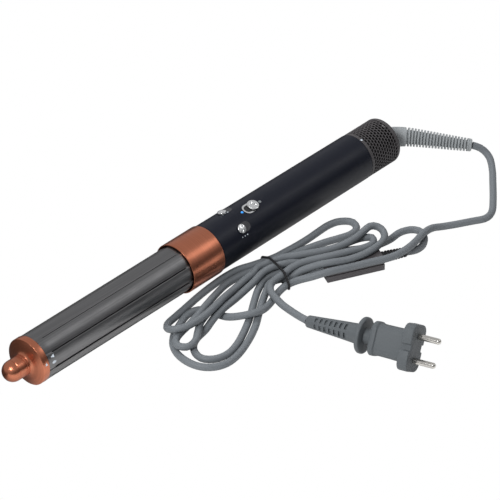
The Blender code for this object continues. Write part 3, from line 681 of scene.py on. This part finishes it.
def refined(node, material, body="root", edge_round=0.0, crease=34, name=None):
    """A merged copy of a CAD solid, with its sharp edges rounded, that stands for it."""
    shape = bmesh.new()
    shape.from_mesh(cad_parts[node].data)
    bmesh.ops.remove_doubles(shape, verts=shape.verts, dist=0.005 * MM)
    bmesh.ops.dissolve_limit(shape, angle_limit=math.radians(1), verts=shape.verts, edges=shape.edges)
    if edge_round:
        sharp = [edge for edge in shape.edges if edge.calc_face_angle(0.0) > math.radians(crease)]
        bmesh.ops.bevel(shape, geom=sharp, offset=edge_round * MM, segments=3, profile=0.5, affect="EDGES",
                        clamp_overlap=True, material=-1)
    return finished(shape, name or node + "_skin", material, body, (node,), crease)

# %% [markdown]
# ## Cool tip
#
# The tip stays cool enough to hold, and turning it swaps the direction of the air. It is one pressed and
# polished copper-coloured cap: a rounded knob, a narrow groove where the knob meets its skirt, a shallow cone,
# and a flange that covers the end of the barrel. A spun profile gives it in one go, with the groove and the
# small radius on the flange that catches the light.

# %% Cool tip
tip_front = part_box("tip_cap")[0].x / MM
FLANGE_X, BARREL_X = -190.5, -184.9
KNOB_R, FLANGE_R = 8.7, 19.8
tip_profile = [(tip_front, 0)]
for a in range(8, 89, 8):
    bend = math.radians(a)
    tip_profile.append((tip_front + KNOB_R - KNOB_R * math.cos(bend), KNOB_R * math.sin(bend)))
tip_profile += [(-205.8, KNOB_R), (-205.3, KNOB_R - 0.25), (-204.9, KNOB_R), (-198.2, KNOB_R),
                (-197.9, KNOB_R - 0.3), (-197.4, KNOB_R - 0.3), (-197.1, KNOB_R), (-195.4, KNOB_R + 0.1), (-194.4, KNOB_R + 0.9),
                (-193.7, KNOB_R + 2.6), (-193.2, KNOB_R + 4.5)]
tip_profile += rounded((-193.2, KNOB_R + 4.5), (-191.2, FLANGE_R - 0.1), (-190.4, FLANGE_R), 0.35, 3)
tip_profile += rounded((-189.8, FLANGE_R), (BARREL_X - 0.35, FLANGE_R), (BARREL_X - 0.35, 18), 0.45)
tip_profile += [(BARREL_X - 0.35, 6), (-184.1, 6), (-184.1, 0)]
finished(turned(tip_profile, 128), "cool_tip", copper, "tip", ("tip_cap",), crease=30)

# %% [markdown]
# ## Barrel
#
# Air leaves the barrel through long slots between nine curved plates. Each plate starts proud of its neighbour
# and ends tucked below it, so that the air sweeps round the barrel and draws the hair on. We extrude the
# stepped section along the barrel, leave out the narrow faces between the plates where the slots are open, and
# give the sheet its thickness with Solidify. A small bevel rounds the plates' edges, which show as bright lines.

# %% Barrel plates
BARREL_R, PLATE_STEP, PLATES, FIRST_SLOT = 19.6, 0.8, 9, 15.0
SLOT_FROM, SLOT_TO, BARREL_END = -178.5, -32.6, -6.0
SLOT_ANGLE, PLATE_POINTS = 2.3, 10
barrel_shape = bmesh.new()
section, slot_marks = [], []
for plate in range(PLATES):
    for k in range(PLATE_POINTS + 1):
        share = k / PLATE_POINTS
        a = math.radians(FIRST_SLOT + 360 / PLATES * plate + (360 / PLATES - SLOT_ANGLE) * share)
        r = BARREL_R - PLATE_STEP * share**1.6
        section.append(barrel_shape.verts.new((BARREL_X * MM, -r * math.sin(a) * MM,
                                               (axis_height + r * math.cos(a)) * MM)))
    slot_marks.append(len(section) - 1)
ring = [barrel_shape.edges.new((a, b)) for a, b in zip(section, section[1:] + section[:1])]
in_slot = [ring[mark] for mark in slot_marks]
unwanted = []
stations = [BARREL_X, SLOT_FROM, SLOT_FROM + 0.7, -150, -120, -90, -60, SLOT_TO - 0.7, SLOT_TO, BARREL_END]
for here, there in zip(stations, stations[1:]):
    made = bmesh.ops.extrude_edge_only(barrel_shape, edges=ring)
    fresh = [item for item in made["geom"] if isinstance(item, bmesh.types.BMVert)]
    bmesh.ops.translate(barrel_shape, verts=fresh, vec=X_AXIS * (there - here) * MM)
    fresh_set = set(fresh)
    next_ring = []
    for edge in ring:
        face = next(f for f in edge.link_faces if fresh_set.intersection(f.verts))
        far_edge = next(e for e in face.edges if fresh_set.issuperset(e.verts))
        next_ring.append(far_edge)
        if edge in in_slot and SLOT_FROM <= here < SLOT_TO:
            unwanted.append(face)
    in_slot = [next_ring[mark] for mark in slot_marks]
    ring = next_ring
bmesh.ops.delete(barrel_shape, geom=unwanted, context="FACES_ONLY")
barrel = finished(barrel_shape, "barrel_plates", barrel_metal, "barrel", ("barrel_shell",))
wall = barrel.modifiers.new("wall", "SOLIDIFY")
wall.thickness, wall.offset = 1.15 * MM, -1
edges = barrel.modifiers.new("edges", "BEVEL")
edges.width, edges.segments = 0.22 * MM, 2
edges.limit_method, edges.angle_limit = "ANGLE", math.radians(35)

# %% [markdown]
# ## Collar
#
# The collar is the copper band that joins the barrel to the handle and hides their catch. It stands off the
# barrel by a narrow dark gap, and both of its rims are rolled, which is why each shows a thin bright line.

# %% Collar
COLLAR_X, COLLAR_R, COLLAR_BORE, HANDLE_X = -29.0, 21.4, 20.25, 6.0
collar_profile = rounded((COLLAR_X + 4, COLLAR_BORE), (COLLAR_X, COLLAR_BORE), (COLLAR_X, 21), 0.35, 3)
collar_profile += rounded((COLLAR_X, 20.6), (COLLAR_X, COLLAR_R), (COLLAR_X + 3, COLLAR_R), 0.6)
collar_profile += rounded((HANDLE_X - 4, COLLAR_R), (HANDLE_X - 0.35, COLLAR_R), (HANDLE_X - 0.35, 20), 0.7)
collar_profile += [(HANDLE_X - 0.35, COLLAR_BORE), (-2, COLLAR_BORE), (-2, 13.6), (-5, 13.6), (-5, COLLAR_BORE)]
finished(turned(collar_profile, 128, closed=True), "collar", copper, "barrel", ("barrel_collar",),
         crease=30)

# %% [markdown]
# ## Marks on the barrel
#
# Small printed marks by the tip show which way it turns: a triangle on the flange, and a triangle and a spot on
# the barrel behind it. Each is a flat shape a tenth of a millimetre thick, made upright and then wrapped round.

# %% Marks by the tip


def flat_mark(sides, radius, squeeze=(1.0, 1.0), turn=0.0, thick=0.12):
    """A thin flat plate with a few sides, lying in the flat coordinates that wrap takes."""
    shape = bmesh.new()
    bmesh.ops.create_circle(shape, cap_ends=True, segments=sides, radius=radius * MM,
                            matrix=Matrix.Diagonal((*squeeze, 1, 1)) @ Matrix.Rotation(math.radians(turn), 4, "Z"))
    made = bmesh.ops.extrude_face_region(shape, geom=list(shape.faces))
    top = [item for item in made["geom"] if isinstance(item, bmesh.types.BMVert)]
    bmesh.ops.translate(shape, verts=top, vec=Z_AXIS * thick * MM)
    return shape


finished(wrap(flat_mark(3, 1.5, (1.0, 1.1), 180), -188.0, 72.7, FLANGE_R), "flange_mark", white_ink, "tip")
finished(wrap(flat_mark(3, 1.9, (1.2, 0.9), 90), -179.8, 62.5, BARREL_R - 0.02), "turn_mark_upper", white_ink,
         "barrel")
finished(wrap(flat_mark(12, 1.6, (1.25, 0.75), 0), -179.8, 77.5, BARREL_R - 0.26), "turn_mark_lower", white_ink,
         "barrel")

# %% [markdown]
# ## Handle
#
# The handle is one moulded shell, nearly a plain tube, with a satin finish. The CAD solid already has its real
# slots for the slider stems, so a cleaned copy of it is all that is needed. What makes it read as the real one
# is the recesses round the controls: a bright bezel round the power slider's track, and shallow dark ones
# behind the two smaller sliders.

# %% Handle shell
CONTROL_ROLL = 12.5
refined("handle_shell", navy_shell, crease=30)
shell_low, shell_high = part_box("handle_shell")
HANDLE_FRONT_R, HANDLE_REAR_R = 20.5, 19.9


def handle_radius(place):
    """The handle tapers a little from the collar to the filter cage."""
    share = (place - shell_low.x / MM) / ((shell_high.x - shell_low.x) / MM)
    return HANDLE_FRONT_R + (HANDLE_REAR_R - HANDLE_FRONT_R) * share


# %% [markdown]
# A slider's track is a slot with round ends. We make it from a flat disc: one half of its rim is moved along by
# the length of the travel, an inset gives the lip, and wrapping bends it to the shell. The power slider's track
# is a bright ring round a dark floor, and what shows of it ahead of the button is a crescent.

# %% Slider tracks


def track(length, radius, lip, height, floor_depth=0.0):
    """A flat slot shape with round ends, a raised lip round a floor, and that floor's face."""
    shape = bmesh.new()
    bmesh.ops.create_circle(shape, cap_ends=True, segments=48, radius=radius * MM)
    rear = [vert for vert in shape.verts if vert.co.x > 0.01 * MM]
    bmesh.ops.translate(shape, verts=rear, vec=X_AXIS * length * MM)
    made = bmesh.ops.extrude_face_region(shape, geom=list(shape.faces))
    top = [item for item in made["geom"] if isinstance(item, bmesh.types.BMVert)]
    bmesh.ops.translate(shape, verts=top, vec=Z_AXIS * height * MM)
    cap = next(item for item in made["geom"] if isinstance(item, bmesh.types.BMFace))
    bmesh.ops.inset_region(shape, faces=[cap], thickness=lip * MM)
    bmesh.ops.translate(shape, verts=cap.verts, vec=-Z_AXIS * (height - floor_depth) * MM)
    return shape, cap


power_x = (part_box("power_slider")[0].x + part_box("power_slider")[1].x) / 2 / MM
side_x = (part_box("airflow_slider")[0].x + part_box("airflow_slider")[1].x) / 2 / MM
SIDE_ANGLE = 32.0
TRACK_LONG = 5.4
power_round, side_round = handle_radius(power_x), handle_radius(side_x)
bezel_shape, _ = track(TRACK_LONG, 5.0, 1.45, 0.34, 0.06)
finished(wrap(bezel_shape, power_x - TRACK_LONG, CONTROL_ROLL, power_round), "power_bezel", polished_metal,
         "root")
floor_shape = bmesh.new()
bmesh.ops.create_circle(floor_shape, cap_ends=True, segments=48, radius=3.6 * MM)
far_half = [vert for vert in floor_shape.verts if vert.co.x > 0.01 * MM]
bmesh.ops.translate(floor_shape, verts=far_half, vec=X_AXIS * TRACK_LONG * MM)
bmesh.ops.translate(floor_shape, verts=floor_shape.verts, vec=Z_AXIS * 0.1 * MM)
finished(wrap(floor_shape, power_x - TRACK_LONG, CONTROL_ROLL, power_round), "power_track_floor", black_plastic,
         "root")
for side, label in ((1, "airflow"), (-1, "heat")):
    recess, _ = track(4.9, 4.1, 0.5, 0.14, 0.05)
    finished(wrap(recess, side_x + 0.6, CONTROL_ROLL + side * SIDE_ANGLE, side_round),
             f"{label}_track", recess_grey, "root")

# %% [markdown]
# ## Slider buttons
#
# Each button is a polished disc with two small dimples that a fingertip finds without looking. The disc is a
# spun profile with a rounded rim, cut finely enough that the dimples can be pressed into its top. The power
# button is larger than the other two, and the line through each one's dimples is set at a slant.

# %% Slider buttons


def button(radius, height, dimple, offset, direction):
    """A domed disc on a stem, with a rounded rim and two dimples, standing on its local XY plane."""
    dome_fall, dimple_deep, stem_r, stem_long = 0.6, 1.05, 1.6, 4.6
    shape = bmesh.new()
    profile = [(0, height)] + [(radius * share, height) for share in (k / 14 for k in range(1, 12))]
    profile += rounded((radius * 0.8, height), (radius, height), (radius, 0), 0.55)
    profile += [(radius, 0), (stem_r, 0), (stem_r, -stem_long), (0, -stem_long)]
    rim = [shape.verts.new((r * MM, 0, z * MM)) for r, z in profile]
    edges = [shape.edges.new(pair) for pair in zip(rim, rim[1:])]
    bmesh.ops.spin(shape, geom=rim + edges, axis=Z_AXIS, angle=math.tau, steps=64, use_merge=True)
    for vert in shape.verts:
        if vert.co.z > (height - dome_fall) * MM:
            x, y = vert.co.x / MM, vert.co.y / MM
            vert.co.z -= dome_fall * ((x * x + y * y) / radius**2) * MM
            for sign in (-1, 1):
                away = math.hypot(x - sign * offset * direction[0], y - sign * offset * direction[1])
                if away < dimple:
                    vert.co.z -= dimple_deep * (1 - (away / dimple) ** 2) * MM
    return shape


for label, angle, radius, dimple, offset, direction in (
    ("power", CONTROL_ROLL, 5.0, 1.45, 1.85, (0.5, -0.87)),
    ("airflow", CONTROL_ROLL + SIDE_ANGLE, 3.8, 1.15, 1.85, (-0.41, -0.91)),
    ("heat", CONTROL_ROLL - SIDE_ANGLE, 3.8, 1.15, 1.85, (-0.41, -0.91)),
):
    node = f"{label}_slider"
    place = power_x if label == "power" else side_x
    shape = button(radius, 1.7, dimple, offset, direction)
    stand = outward_frame(place, angle, handle_radius(place) + 0.45)
    bmesh.ops.transform(shape, matrix=stand, verts=shape.verts)
    finished(shape, f"{label}_button", polished_metal, node, (node,), crease=40)

# %% [markdown]
# Round the buttons there are a few tiny printed or moulded marks: three dots beside each small slider for its
# steps, a ring behind the power slider for "on", and a lamp that glows blue. The lamp is a domed lens.

# %% Marks and lamp
for i in range(3):
    for label, angle in (("airflow", 62.4), ("heat", -10.5)):
        dot = wrap(flat_mark(12, 0.42 + 0.05 * i, thick=0.1), 28.8 + 2.75 * i, angle, handle_radius(31))
        finished(dot, f"{label}_dot_{i}", white_ink, "root")
ring_shape, ring_floor = track(0.02, 1.25, 0.34, 0.1, 0.0)
bmesh.ops.delete(ring_shape, geom=[ring_floor], context="FACES_ONLY")
finished(wrap(ring_shape, 62.2, CONTROL_ROLL + 0.5, handle_radius(62)), "power_mark", grey_ink, "root")
led_x = (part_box("led_lens")[0].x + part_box("led_lens")[1].x) / 2 / MM
lens = bmesh.new()
bmesh.ops.create_uvsphere(lens, u_segments=20, v_segments=12, radius=1.15 * MM,
                          matrix=outward_frame(led_x, CONTROL_ROLL, handle_radius(led_x) - 0.25)
                          @ Matrix.Diagonal((1.1, 1, 0.45, 1)))
finished(lens, "lamp_lens", led_blue, "root", ("led_lens",))

# %% [markdown]
# ## Filter cage
#
# Air is drawn in through the cage at the back, which twists off for cleaning. It is pierced all over with rows
# of small oval holes, each row half a step round from the last. We start from a flat grid, join its faces two by
# two with a shift between rows, inset every face and take the middle out. Wrapping, one level of subdivision
# and then a wall turn the square openings oval, and each hole costs only a few dozen faces.

# %% Pierced band
CAGE_R, CAGE_WALL, HOLES_ROUND, HOLE_ROWS, HOLE_INSET = 19.7, 1.2, 38, 11, 0.12
cage_low, cage_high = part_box("filter_cage")
band_from, band_to = cage_low.x / MM + 2.4, cage_high.x / MM - 4.6
band_long, band_wide = band_to - band_from, math.tau * CAGE_R
band = bmesh.new()
bmesh.ops.create_grid(band, x_segments=HOLE_ROWS, y_segments=2 * HOLES_ROUND, size=0.5,
                      matrix=Matrix.Diagonal((band_long * MM, band_wide * MM, 1, 1)))
row_pitch, half_pitch = band_long / HOLE_ROWS, band_wide / (2 * HOLES_ROUND)


def in_one_cell(edge):
    """Whether this edge lies in the middle of a hole's cell, and so has to go."""
    one, two = (vert.co / MM for vert in edge.verts)
    if abs(one.y - two.y) > 0.01 or len(edge.link_faces) < 2:
        return False
    row = int((one.x + two.x) / 2 / row_pitch + HOLE_ROWS / 2)
    line = round(one.y / half_pitch) + HOLES_ROUND
    return (line + row) % 2 == 1


joined = [edge for edge in band.edges if in_one_cell(edge)]
bmesh.ops.dissolve_edges(band, edges=joined, use_verts=False)
cells = [face for face in band.faces if len(face.verts) > 4]
bmesh.ops.inset_individual(band, faces=cells, thickness=HOLE_INSET * MM, use_even_offset=True)
bmesh.ops.delete(band, geom=cells, context="FACES_ONLY")
cage = finished(wrap(band, (band_from + band_to) / 2, 0.0, CAGE_R), "cage_mesh", cage_plastic, "filter",
                ("filter_cage",), crease=60)
soften = cage.modifiers.new("soften", "SUBSURF")
soften.levels = soften.render_levels = 1
wall = cage.modifiers.new("wall", "SOLIDIFY")
wall.thickness, wall.offset = CAGE_WALL * MM, -1
print("holes:", len(cells), "with a row every", round(row_pitch, 2), "mm")

# %% [markdown]
# Two plain bands close the cage: a narrow one in front, whose bright edge is the seam with the handle, and a
# rounded rim behind that curls in to the mouth where the sleeve of the cord comes out.

# %% Cage bands
front = rounded((cage_low.x / MM, 18.4), (cage_low.x / MM, CAGE_R + 0.02), (band_from, CAGE_R + 0.02), 0.4)
front += [(band_from + 0.2, CAGE_R + 0.02), (band_from + 0.2, 18.4)]
finished(turned(front, 96, closed=True), "cage_front_band", cage_plastic, "filter", crease=30)
rear_x = cage_high.x / MM
RIM_ROUND = 3.4
rim = [(band_to - 0.2, CAGE_R + 0.02)]
for a in range(0, 91, 10):
    bend = math.radians(a)
    rim.append((rear_x - RIM_ROUND + RIM_ROUND * math.sin(bend),
                CAGE_R - RIM_ROUND + (RIM_ROUND + 0.02) * math.cos(bend)))
rim += [(rear_x, 14.0), (rear_x - 1.3, 14.0), (rear_x - 1.3, 16.0), (rear_x - 3.7, 18.4), (band_to - 0.2, 18.4)]
finished(turned(rim, 96, closed=True), "cage_rear_rim", cage_plastic, "filter", crease=30)
finished(wrap(flat_mark(14, 0.8), cage_low.x / MM + 1.2, 16.0, CAGE_R), "cage_mark", white_ink, "filter")

# %% [markdown]
# ## Strain relief
#
# A long soft sleeve keeps the cord from folding where it leaves the handle. Its first third is smooth, and the
# rest is cut into rings so that it bends evenly. We sweep one circle after another along the bent route and let
# the radius drop between the rings.

# %% Strain relief


def along_route(points, place):
    """The point at a distance along a list of points that lie 0.1 mm apart."""
    return points[min(int(round(place / 0.1)), len(points) - 1)]


sleeve_knots = [(212.2, 0, 21.4), (215.5, -0.2, 21.4), (222, -3.4, 21.3), (231, -11.5, 20.6),
                (243, -25.5, 18.6), (255, -39.5, 16.2), (265.2, -51, 14.2)]
sleeve_line = smooth_points(sleeve_knots, 0.1)
sleeve_long = (len(sleeve_line) - 1) * 0.1
SMOOTH_PART, END_RING, FINS, FIN_DEEP = 21.5, 2.6, 20, 1.9
pitch = (sleeve_long - SMOOTH_PART - END_RING) / FINS


def sleeve_radius(place):
    """The sleeve's outer radius: level at first, then an even taper."""
    return 8.3 - 3.1 * max(0.0, place - 12) / (sleeve_long - 12)


places = [0.0, 4.0, 8.0, 12.0, 16.0, 20.0, SMOOTH_PART - 0.5]
radii = [sleeve_radius(p) for p in places]
for fin in range(FINS):
    start = SMOOTH_PART + pitch * fin
    for share, deep in ((0.0, FIN_DEEP), (0.44, FIN_DEEP), (0.48, 0.15), (0.54, 0.0), (0.92, 0.0),
                        (0.97, 0.15)):
        places.append(start + pitch * share)
        radii.append(sleeve_radius(start) - deep)
places += [sleeve_long - END_RING, sleeve_long - END_RING + 0.3, sleeve_long - 0.7, sleeve_long]
radii += [5.0, 5.3, 5.3, 4.6]
finished(swept([along_route(sleeve_line, p) for p in places], radii, 28), "strain_sleeve", relief_grey, "root",
         ("strain_relief",), crease=28)

# %% [markdown]
# ## Plug
#
# The two-pin plug was moulded in one piece round its pins: a flat face flange with a notch in each long side, a
# waisted body, a round guard behind it, and a slotted sleeve that tapers to the cord. It lies on the bench on
# its edge, so we build it in its own frame, with Z out along the pins, and then lay it down with one matrix.

# %% Frame of the plug
PLUG_FACE = Vector((28.0, -203.4, 20.3)) * MM
PLUG_HEADING, PLUG_RISE, PLUG_ROLL = (math.radians(a) for a in (-75.0, 5.0, 54.0))
plug_out = Vector((math.cos(PLUG_HEADING) * math.cos(PLUG_RISE),
                   math.sin(PLUG_HEADING) * math.cos(PLUG_RISE), math.sin(PLUG_RISE)))
plug_level = Z_AXIS.cross(plug_out).normalized()
plug_pins = plug_level * math.cos(PLUG_ROLL) + plug_out.cross(plug_level) * math.sin(PLUG_ROLL)
plug_turn = Matrix((plug_pins, plug_out.cross(plug_pins), plug_out)).transposed().to_4x4()
plug_place = Matrix.Translation(PLUG_FACE) @ plug_turn
print("the plug's pins point along", [round(v, 2) for v in plug_out])


def spun_on_plug(profile, steps=64, offset=0.0):
    """A shape spun about the plug's own Z from points of radius and height, moved along the pins' line."""
    shape = bmesh.new()
    rim = [shape.verts.new((r * MM, 0, z * MM)) for r, z in profile]
    edges = [shape.edges.new(pair) for pair in zip(rim, rim[1:])]
    bmesh.ops.spin(shape, geom=rim + edges, axis=Z_AXIS, angle=math.tau, steps=steps, use_merge=True)
    bmesh.ops.transform(shape, matrix=plug_place @ Matrix.Translation((offset * MM, 0, 0)), verts=shape.verts)
    return shape


# %% [markdown]
# The face flange keeps the CAD outline and gets soft edges. The body is drawn out from one rounded outline, a
# station at a time: a raised rim at its rear, and then a waist for the fingers. The first outline stays as the
# body's rear face, and the others are only passed through.

# %% Plug flange and body
refined("plug_face", plug_grey, edge_round=0.9, name="plug_flange")
BODY_REAR, REAR_OUTLINE = -37.0, (21.0, 14.5)
BODY_STATIONS = ((-36.6, 25.6, 18.0), (-35.6, 27.2, 19.2), (-33.4, 27.2, 19.2), (-32.4, 26.6, 18.6),
                 (-31.6, 25.4, 16.6), (-28, 25.2, 15.9), (-20, 25.4, 15.6), (-13, 25.8, 15.8), (-9, 26.4, 16.2))
body = bmesh.new()
bmesh.ops.create_grid(body, x_segments=1, y_segments=1, size=0.5,
                      matrix=Matrix.Translation((0, 0, BODY_REAR * MM))
                      @ Matrix.Diagonal((REAR_OUTLINE[0] * MM, REAR_OUTLINE[1] * MM, 1, 1)))
bmesh.ops.bevel(body, geom=list(body.verts), offset=5.0 * MM, segments=6, profile=0.5, affect="VERTICES",
                material=-1)
rear_face = list(body.faces)
front, outline = rear_face, REAR_OUTLINE
for height, wide, deep in BODY_STATIONS:
    made = bmesh.ops.extrude_face_region(body, geom=front)
    if front is not rear_face:
        bmesh.ops.delete(body, geom=front, context="FACES_ONLY")
    front = [item for item in made["geom"] if isinstance(item, bmesh.types.BMFace)]
    corners = list({vert for face in front for vert in face.verts})
    bmesh.ops.scale(body, verts=corners, vec=(wide / outline[0], deep / outline[1], 1))
    level = corners[0].co.z
    bmesh.ops.translate(body, verts=corners, vec=Z_AXIS * (height * MM - level))
    outline = (wide, deep)
bmesh.ops.transform(body, matrix=plug_place, verts=body.verts)
finished(body, "plug_housing", plug_grey, "root", ("plug_body",))

# %% [markdown]
# Behind the body comes a short neck, and then the round guard that keeps fingers off the pins. Both are spun.

# %% Plug neck and guard
neck = [(7.6, -36.6), (6.4, -38.0), (6.2, -40.5), (6.4, -43.3)]
finished(spun_on_plug([(0, -36.6)] + neck + [(0, -43.3)]), "plug_neck", plug_grey, "root")
guard = [(0, -43.4)] + rounded((8, -43.4), (14.6, -43.6), (14.6, -45.5), 1.4)
guard += rounded((14.6, -45.5), (14.6, -47.4), (8, -47.6), 1.4) + [(0, -47.6)]
finished(spun_on_plug(guard), "plug_disc", plug_grey, "root", ("plug_guard",))

# %% [markdown]
# The pins are turned from plated brass, with rounded ends. Each is one half profile spun about its own line.

# %% Plug pins
PIN_R, PIN_LONG, PIN_APART = 2.4, 19.0, 19.0
for side, node in ((1, "plug_pin_upper"), (-1, "plug_pin_lower")):
    pin = [(0, 0.2), (PIN_R, 0.2), (PIN_R, PIN_LONG - PIN_R)]
    for a in range(10, 91, 10):
        bend = math.radians(a)
        pin.append((PIN_R * math.cos(bend), PIN_LONG - PIN_R + PIN_R * math.sin(bend)))
    finished(spun_on_plug(pin, 40, side * PIN_APART / 2), node + "_turned", nickel, "root", (node,),
             crease=45)

# %% [markdown]
# The sleeve behind the guard has two rows of square slots on each side, which let it bend. It is swept like the
# strain relief, and then the faces where the slots are get extruded and drawn in towards its middle line.

# %% Plug sleeve
sleeve_end = PLUG_FACE / MM - plug_out * 47.8
sleeve_start = Vector((3.6, -112.2, 11.8))
sleeve_aim = (sleeve_end - sleeve_start).normalized()
plug_line = smooth_points([tuple(sleeve_start), tuple(sleeve_start + sleeve_aim * 14),
                           tuple(sleeve_end - plug_out * 16), tuple(sleeve_end)], 0.1)
plug_long = (len(plug_line) - 1) * 0.1
SLOTS, SLOT_PITCH, FIRST_SLOT_AT, SLOT_DEEP = 7, 0.095, 0.17, 0.22
places = [0.0, 0.8]
for slot in range(SLOTS):
    places += [plug_long * (FIRST_SLOT_AT + SLOT_PITCH * (slot + edge)) for edge in (0, 0.5)]
places += [plug_long * 0.92, plug_long]
radii = [4.3] + [4.8 + 3.5 * p / plug_long for p in places[1:-1]] + [8.6]
sleeve = swept([along_route(plug_line, p) for p in places], radii, 36)
sleeve.normal_update()


def nearest_on_plug_line(point):
    """The number of the point on the sleeve's line that lies nearest to a place in mm."""
    return min(range(0, len(plug_line), 3), key=lambda i: (Vector(plug_line[i]) - point).length_squared)


slot_faces = []
for face in sleeve.faces:
    place = nearest_on_plug_line(face.calc_center_median() / MM) * 0.1
    share = (place / plug_long - FIRST_SLOT_AT) / SLOT_PITCH
    broad = abs(face.normal.dot(plug_turn.to_3x3() @ Y_AXIS))
    round_by = abs(math.degrees(math.atan2(face.normal.dot(plug_pins), broad)))
    if 0 < share < SLOTS and share % 1 < 0.5 and len(face.verts) == 4 and 7 < round_by < 48:
        slot_faces.append(face)
print(len(slot_faces), "faces belong to the sleeve's slots")
made = bmesh.ops.extrude_face_region(sleeve, geom=slot_faces)
bmesh.ops.delete(sleeve, geom=slot_faces, context="FACES_ONLY")
for vert in [item for item in made["geom"] if isinstance(item, bmesh.types.BMVert)]:
    vert.co = vert.co.lerp(Vector(plug_line[nearest_on_plug_line(vert.co / MM)]) * MM, SLOT_DEEP)
finished(sleeve, "plug_sleeve", plug_grey, "root", ("plug_relief",), crease=28)

# %% [markdown]
# ## Filter box
#
# The little box on the cord holds a ferrite core in two snap-together shells. The CAD has both shells with
# their real seam, so they stay as they are, with rounded edges. Its ribbed sleeve is swept like the others.

# %% Filter box and its sleeve
for node, round_by in (("filter_box_base", 0.5), ("filter_box_lid", 0.8)):
    refined(node, box_grey, edge_round=round_by, crease=30)
box_along = Vector((math.cos(BOX_HEADING), math.sin(BOX_HEADING), 0))
box_middle = Vector((*BOX_MIDDLE, 6.0))
half = float(BOX_HALF[0])
places, radii = [half + 0.3, half + 2.4, half + 2.6], [4.7, 4.7, 4.4]
for rib in range(7):
    start = half + 3.0 + 2.5 * rib
    for step, deep in ((0.0, 0.75), (0.95, 0.75), (1.15, 0.0), (2.2, 0.0)):
        places.append(start + step)
        radii.append(4.75 - 0.12 * rib - deep)
places += [half + 21.0, half + 21.5]
radii += [3.9, 3.5]
finished(swept([box_middle + box_along * p for p in places], radii, 24), "box_sleeve", seal_rubber, "root",
         ("box_relief",), crease=28)

# %% [markdown]
# ## Wire tie
#
# A black twist tie holds the hank at its waist. It takes the shape of the strands that it pulls together, so we
# cut the settled cord at the waist, and let the wire run round the outline of the strands it finds there.

# %% Wire tie
TIE_WIRE_R = 0.95
strands = []
for point in settled:
    away = point - TIE_CENTRE
    if abs(away @ STRANDS_RUN) < CORD_LINK * 0.75 and abs(away @ STRANDS_ACROSS) < 26 and point[2] < 26:
        strands.append((float(away @ STRANDS_ACROSS), float(point[2])))
print("the tie holds", len(strands), "links at its waist")
loop = []
for k in range(48):
    a = math.tau * k / 48
    facing = (math.cos(a), math.sin(a))
    across, height = max(strands, key=lambda s: s[0] * facing[0] + s[1] * facing[1])
    across += (CORD_R + TIE_WIRE_R * 0.8) * facing[0]
    height = max(height + (CORD_R + TIE_WIRE_R * 0.8) * facing[1], TIE_WIRE_R)
    loop.append(Vector(TIE_CENTRE + STRANDS_ACROSS * across + (0, 0, height)))
even = []
for one, two in zip(loop, loop[1:] + loop[:1]):
    steps = max(1, round((two - one).length / 1.2))
    even += [tuple(one.lerp(two, k / steps)) for k in range(steps)]
finished(swept(even, [TIE_WIRE_R] * len(even), 12, loop=True), "wire_tie", seal_rubber, "root",
         ("cord_tie",), crease=60)

# %% [markdown]

# %% [markdown]
# ## Inside the tool
#
# Through the cage, the slots and the open rims one can just see the parts inside. They are the CAD solids, and
# each takes the finish of its material slot, except the steel filter mesh, which is painted near-black as the
# shade inside the cage's holes.

# %% Finishes of the inner parts
finish_of = {
    "copper": copper, "barrel_metal": barrel_metal, "navy_shell": navy_shell, "cage_plastic": cage_plastic,
    "polished_metal": polished_metal, "steel": steel, "black_plastic": black_plastic, "seal_rubber": seal_rubber,
    "board_green": board_green, "ceramic_white": ceramic_white, "coil_wire": coil_wire,
    "motor_copper": motor_copper, "led_blue": led_blue, "relief_grey": relief_grey, "cord_grey": cord_grey,
    "plug_grey": plug_grey, "box_grey": box_grey, "nickel": nickel,
}
for name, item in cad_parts.items():
    for holder in item.material_slots:
        given = holder.material.name.split(".")[0]
        # The filter mesh gets painted shade, a near-black steel in place of its own finish.
        holder.material = painted_shade_mesh if name == "filter_mesh" else finish_of.get(given, black_plastic)
print(len(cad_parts), "CAD solids carry a finish")
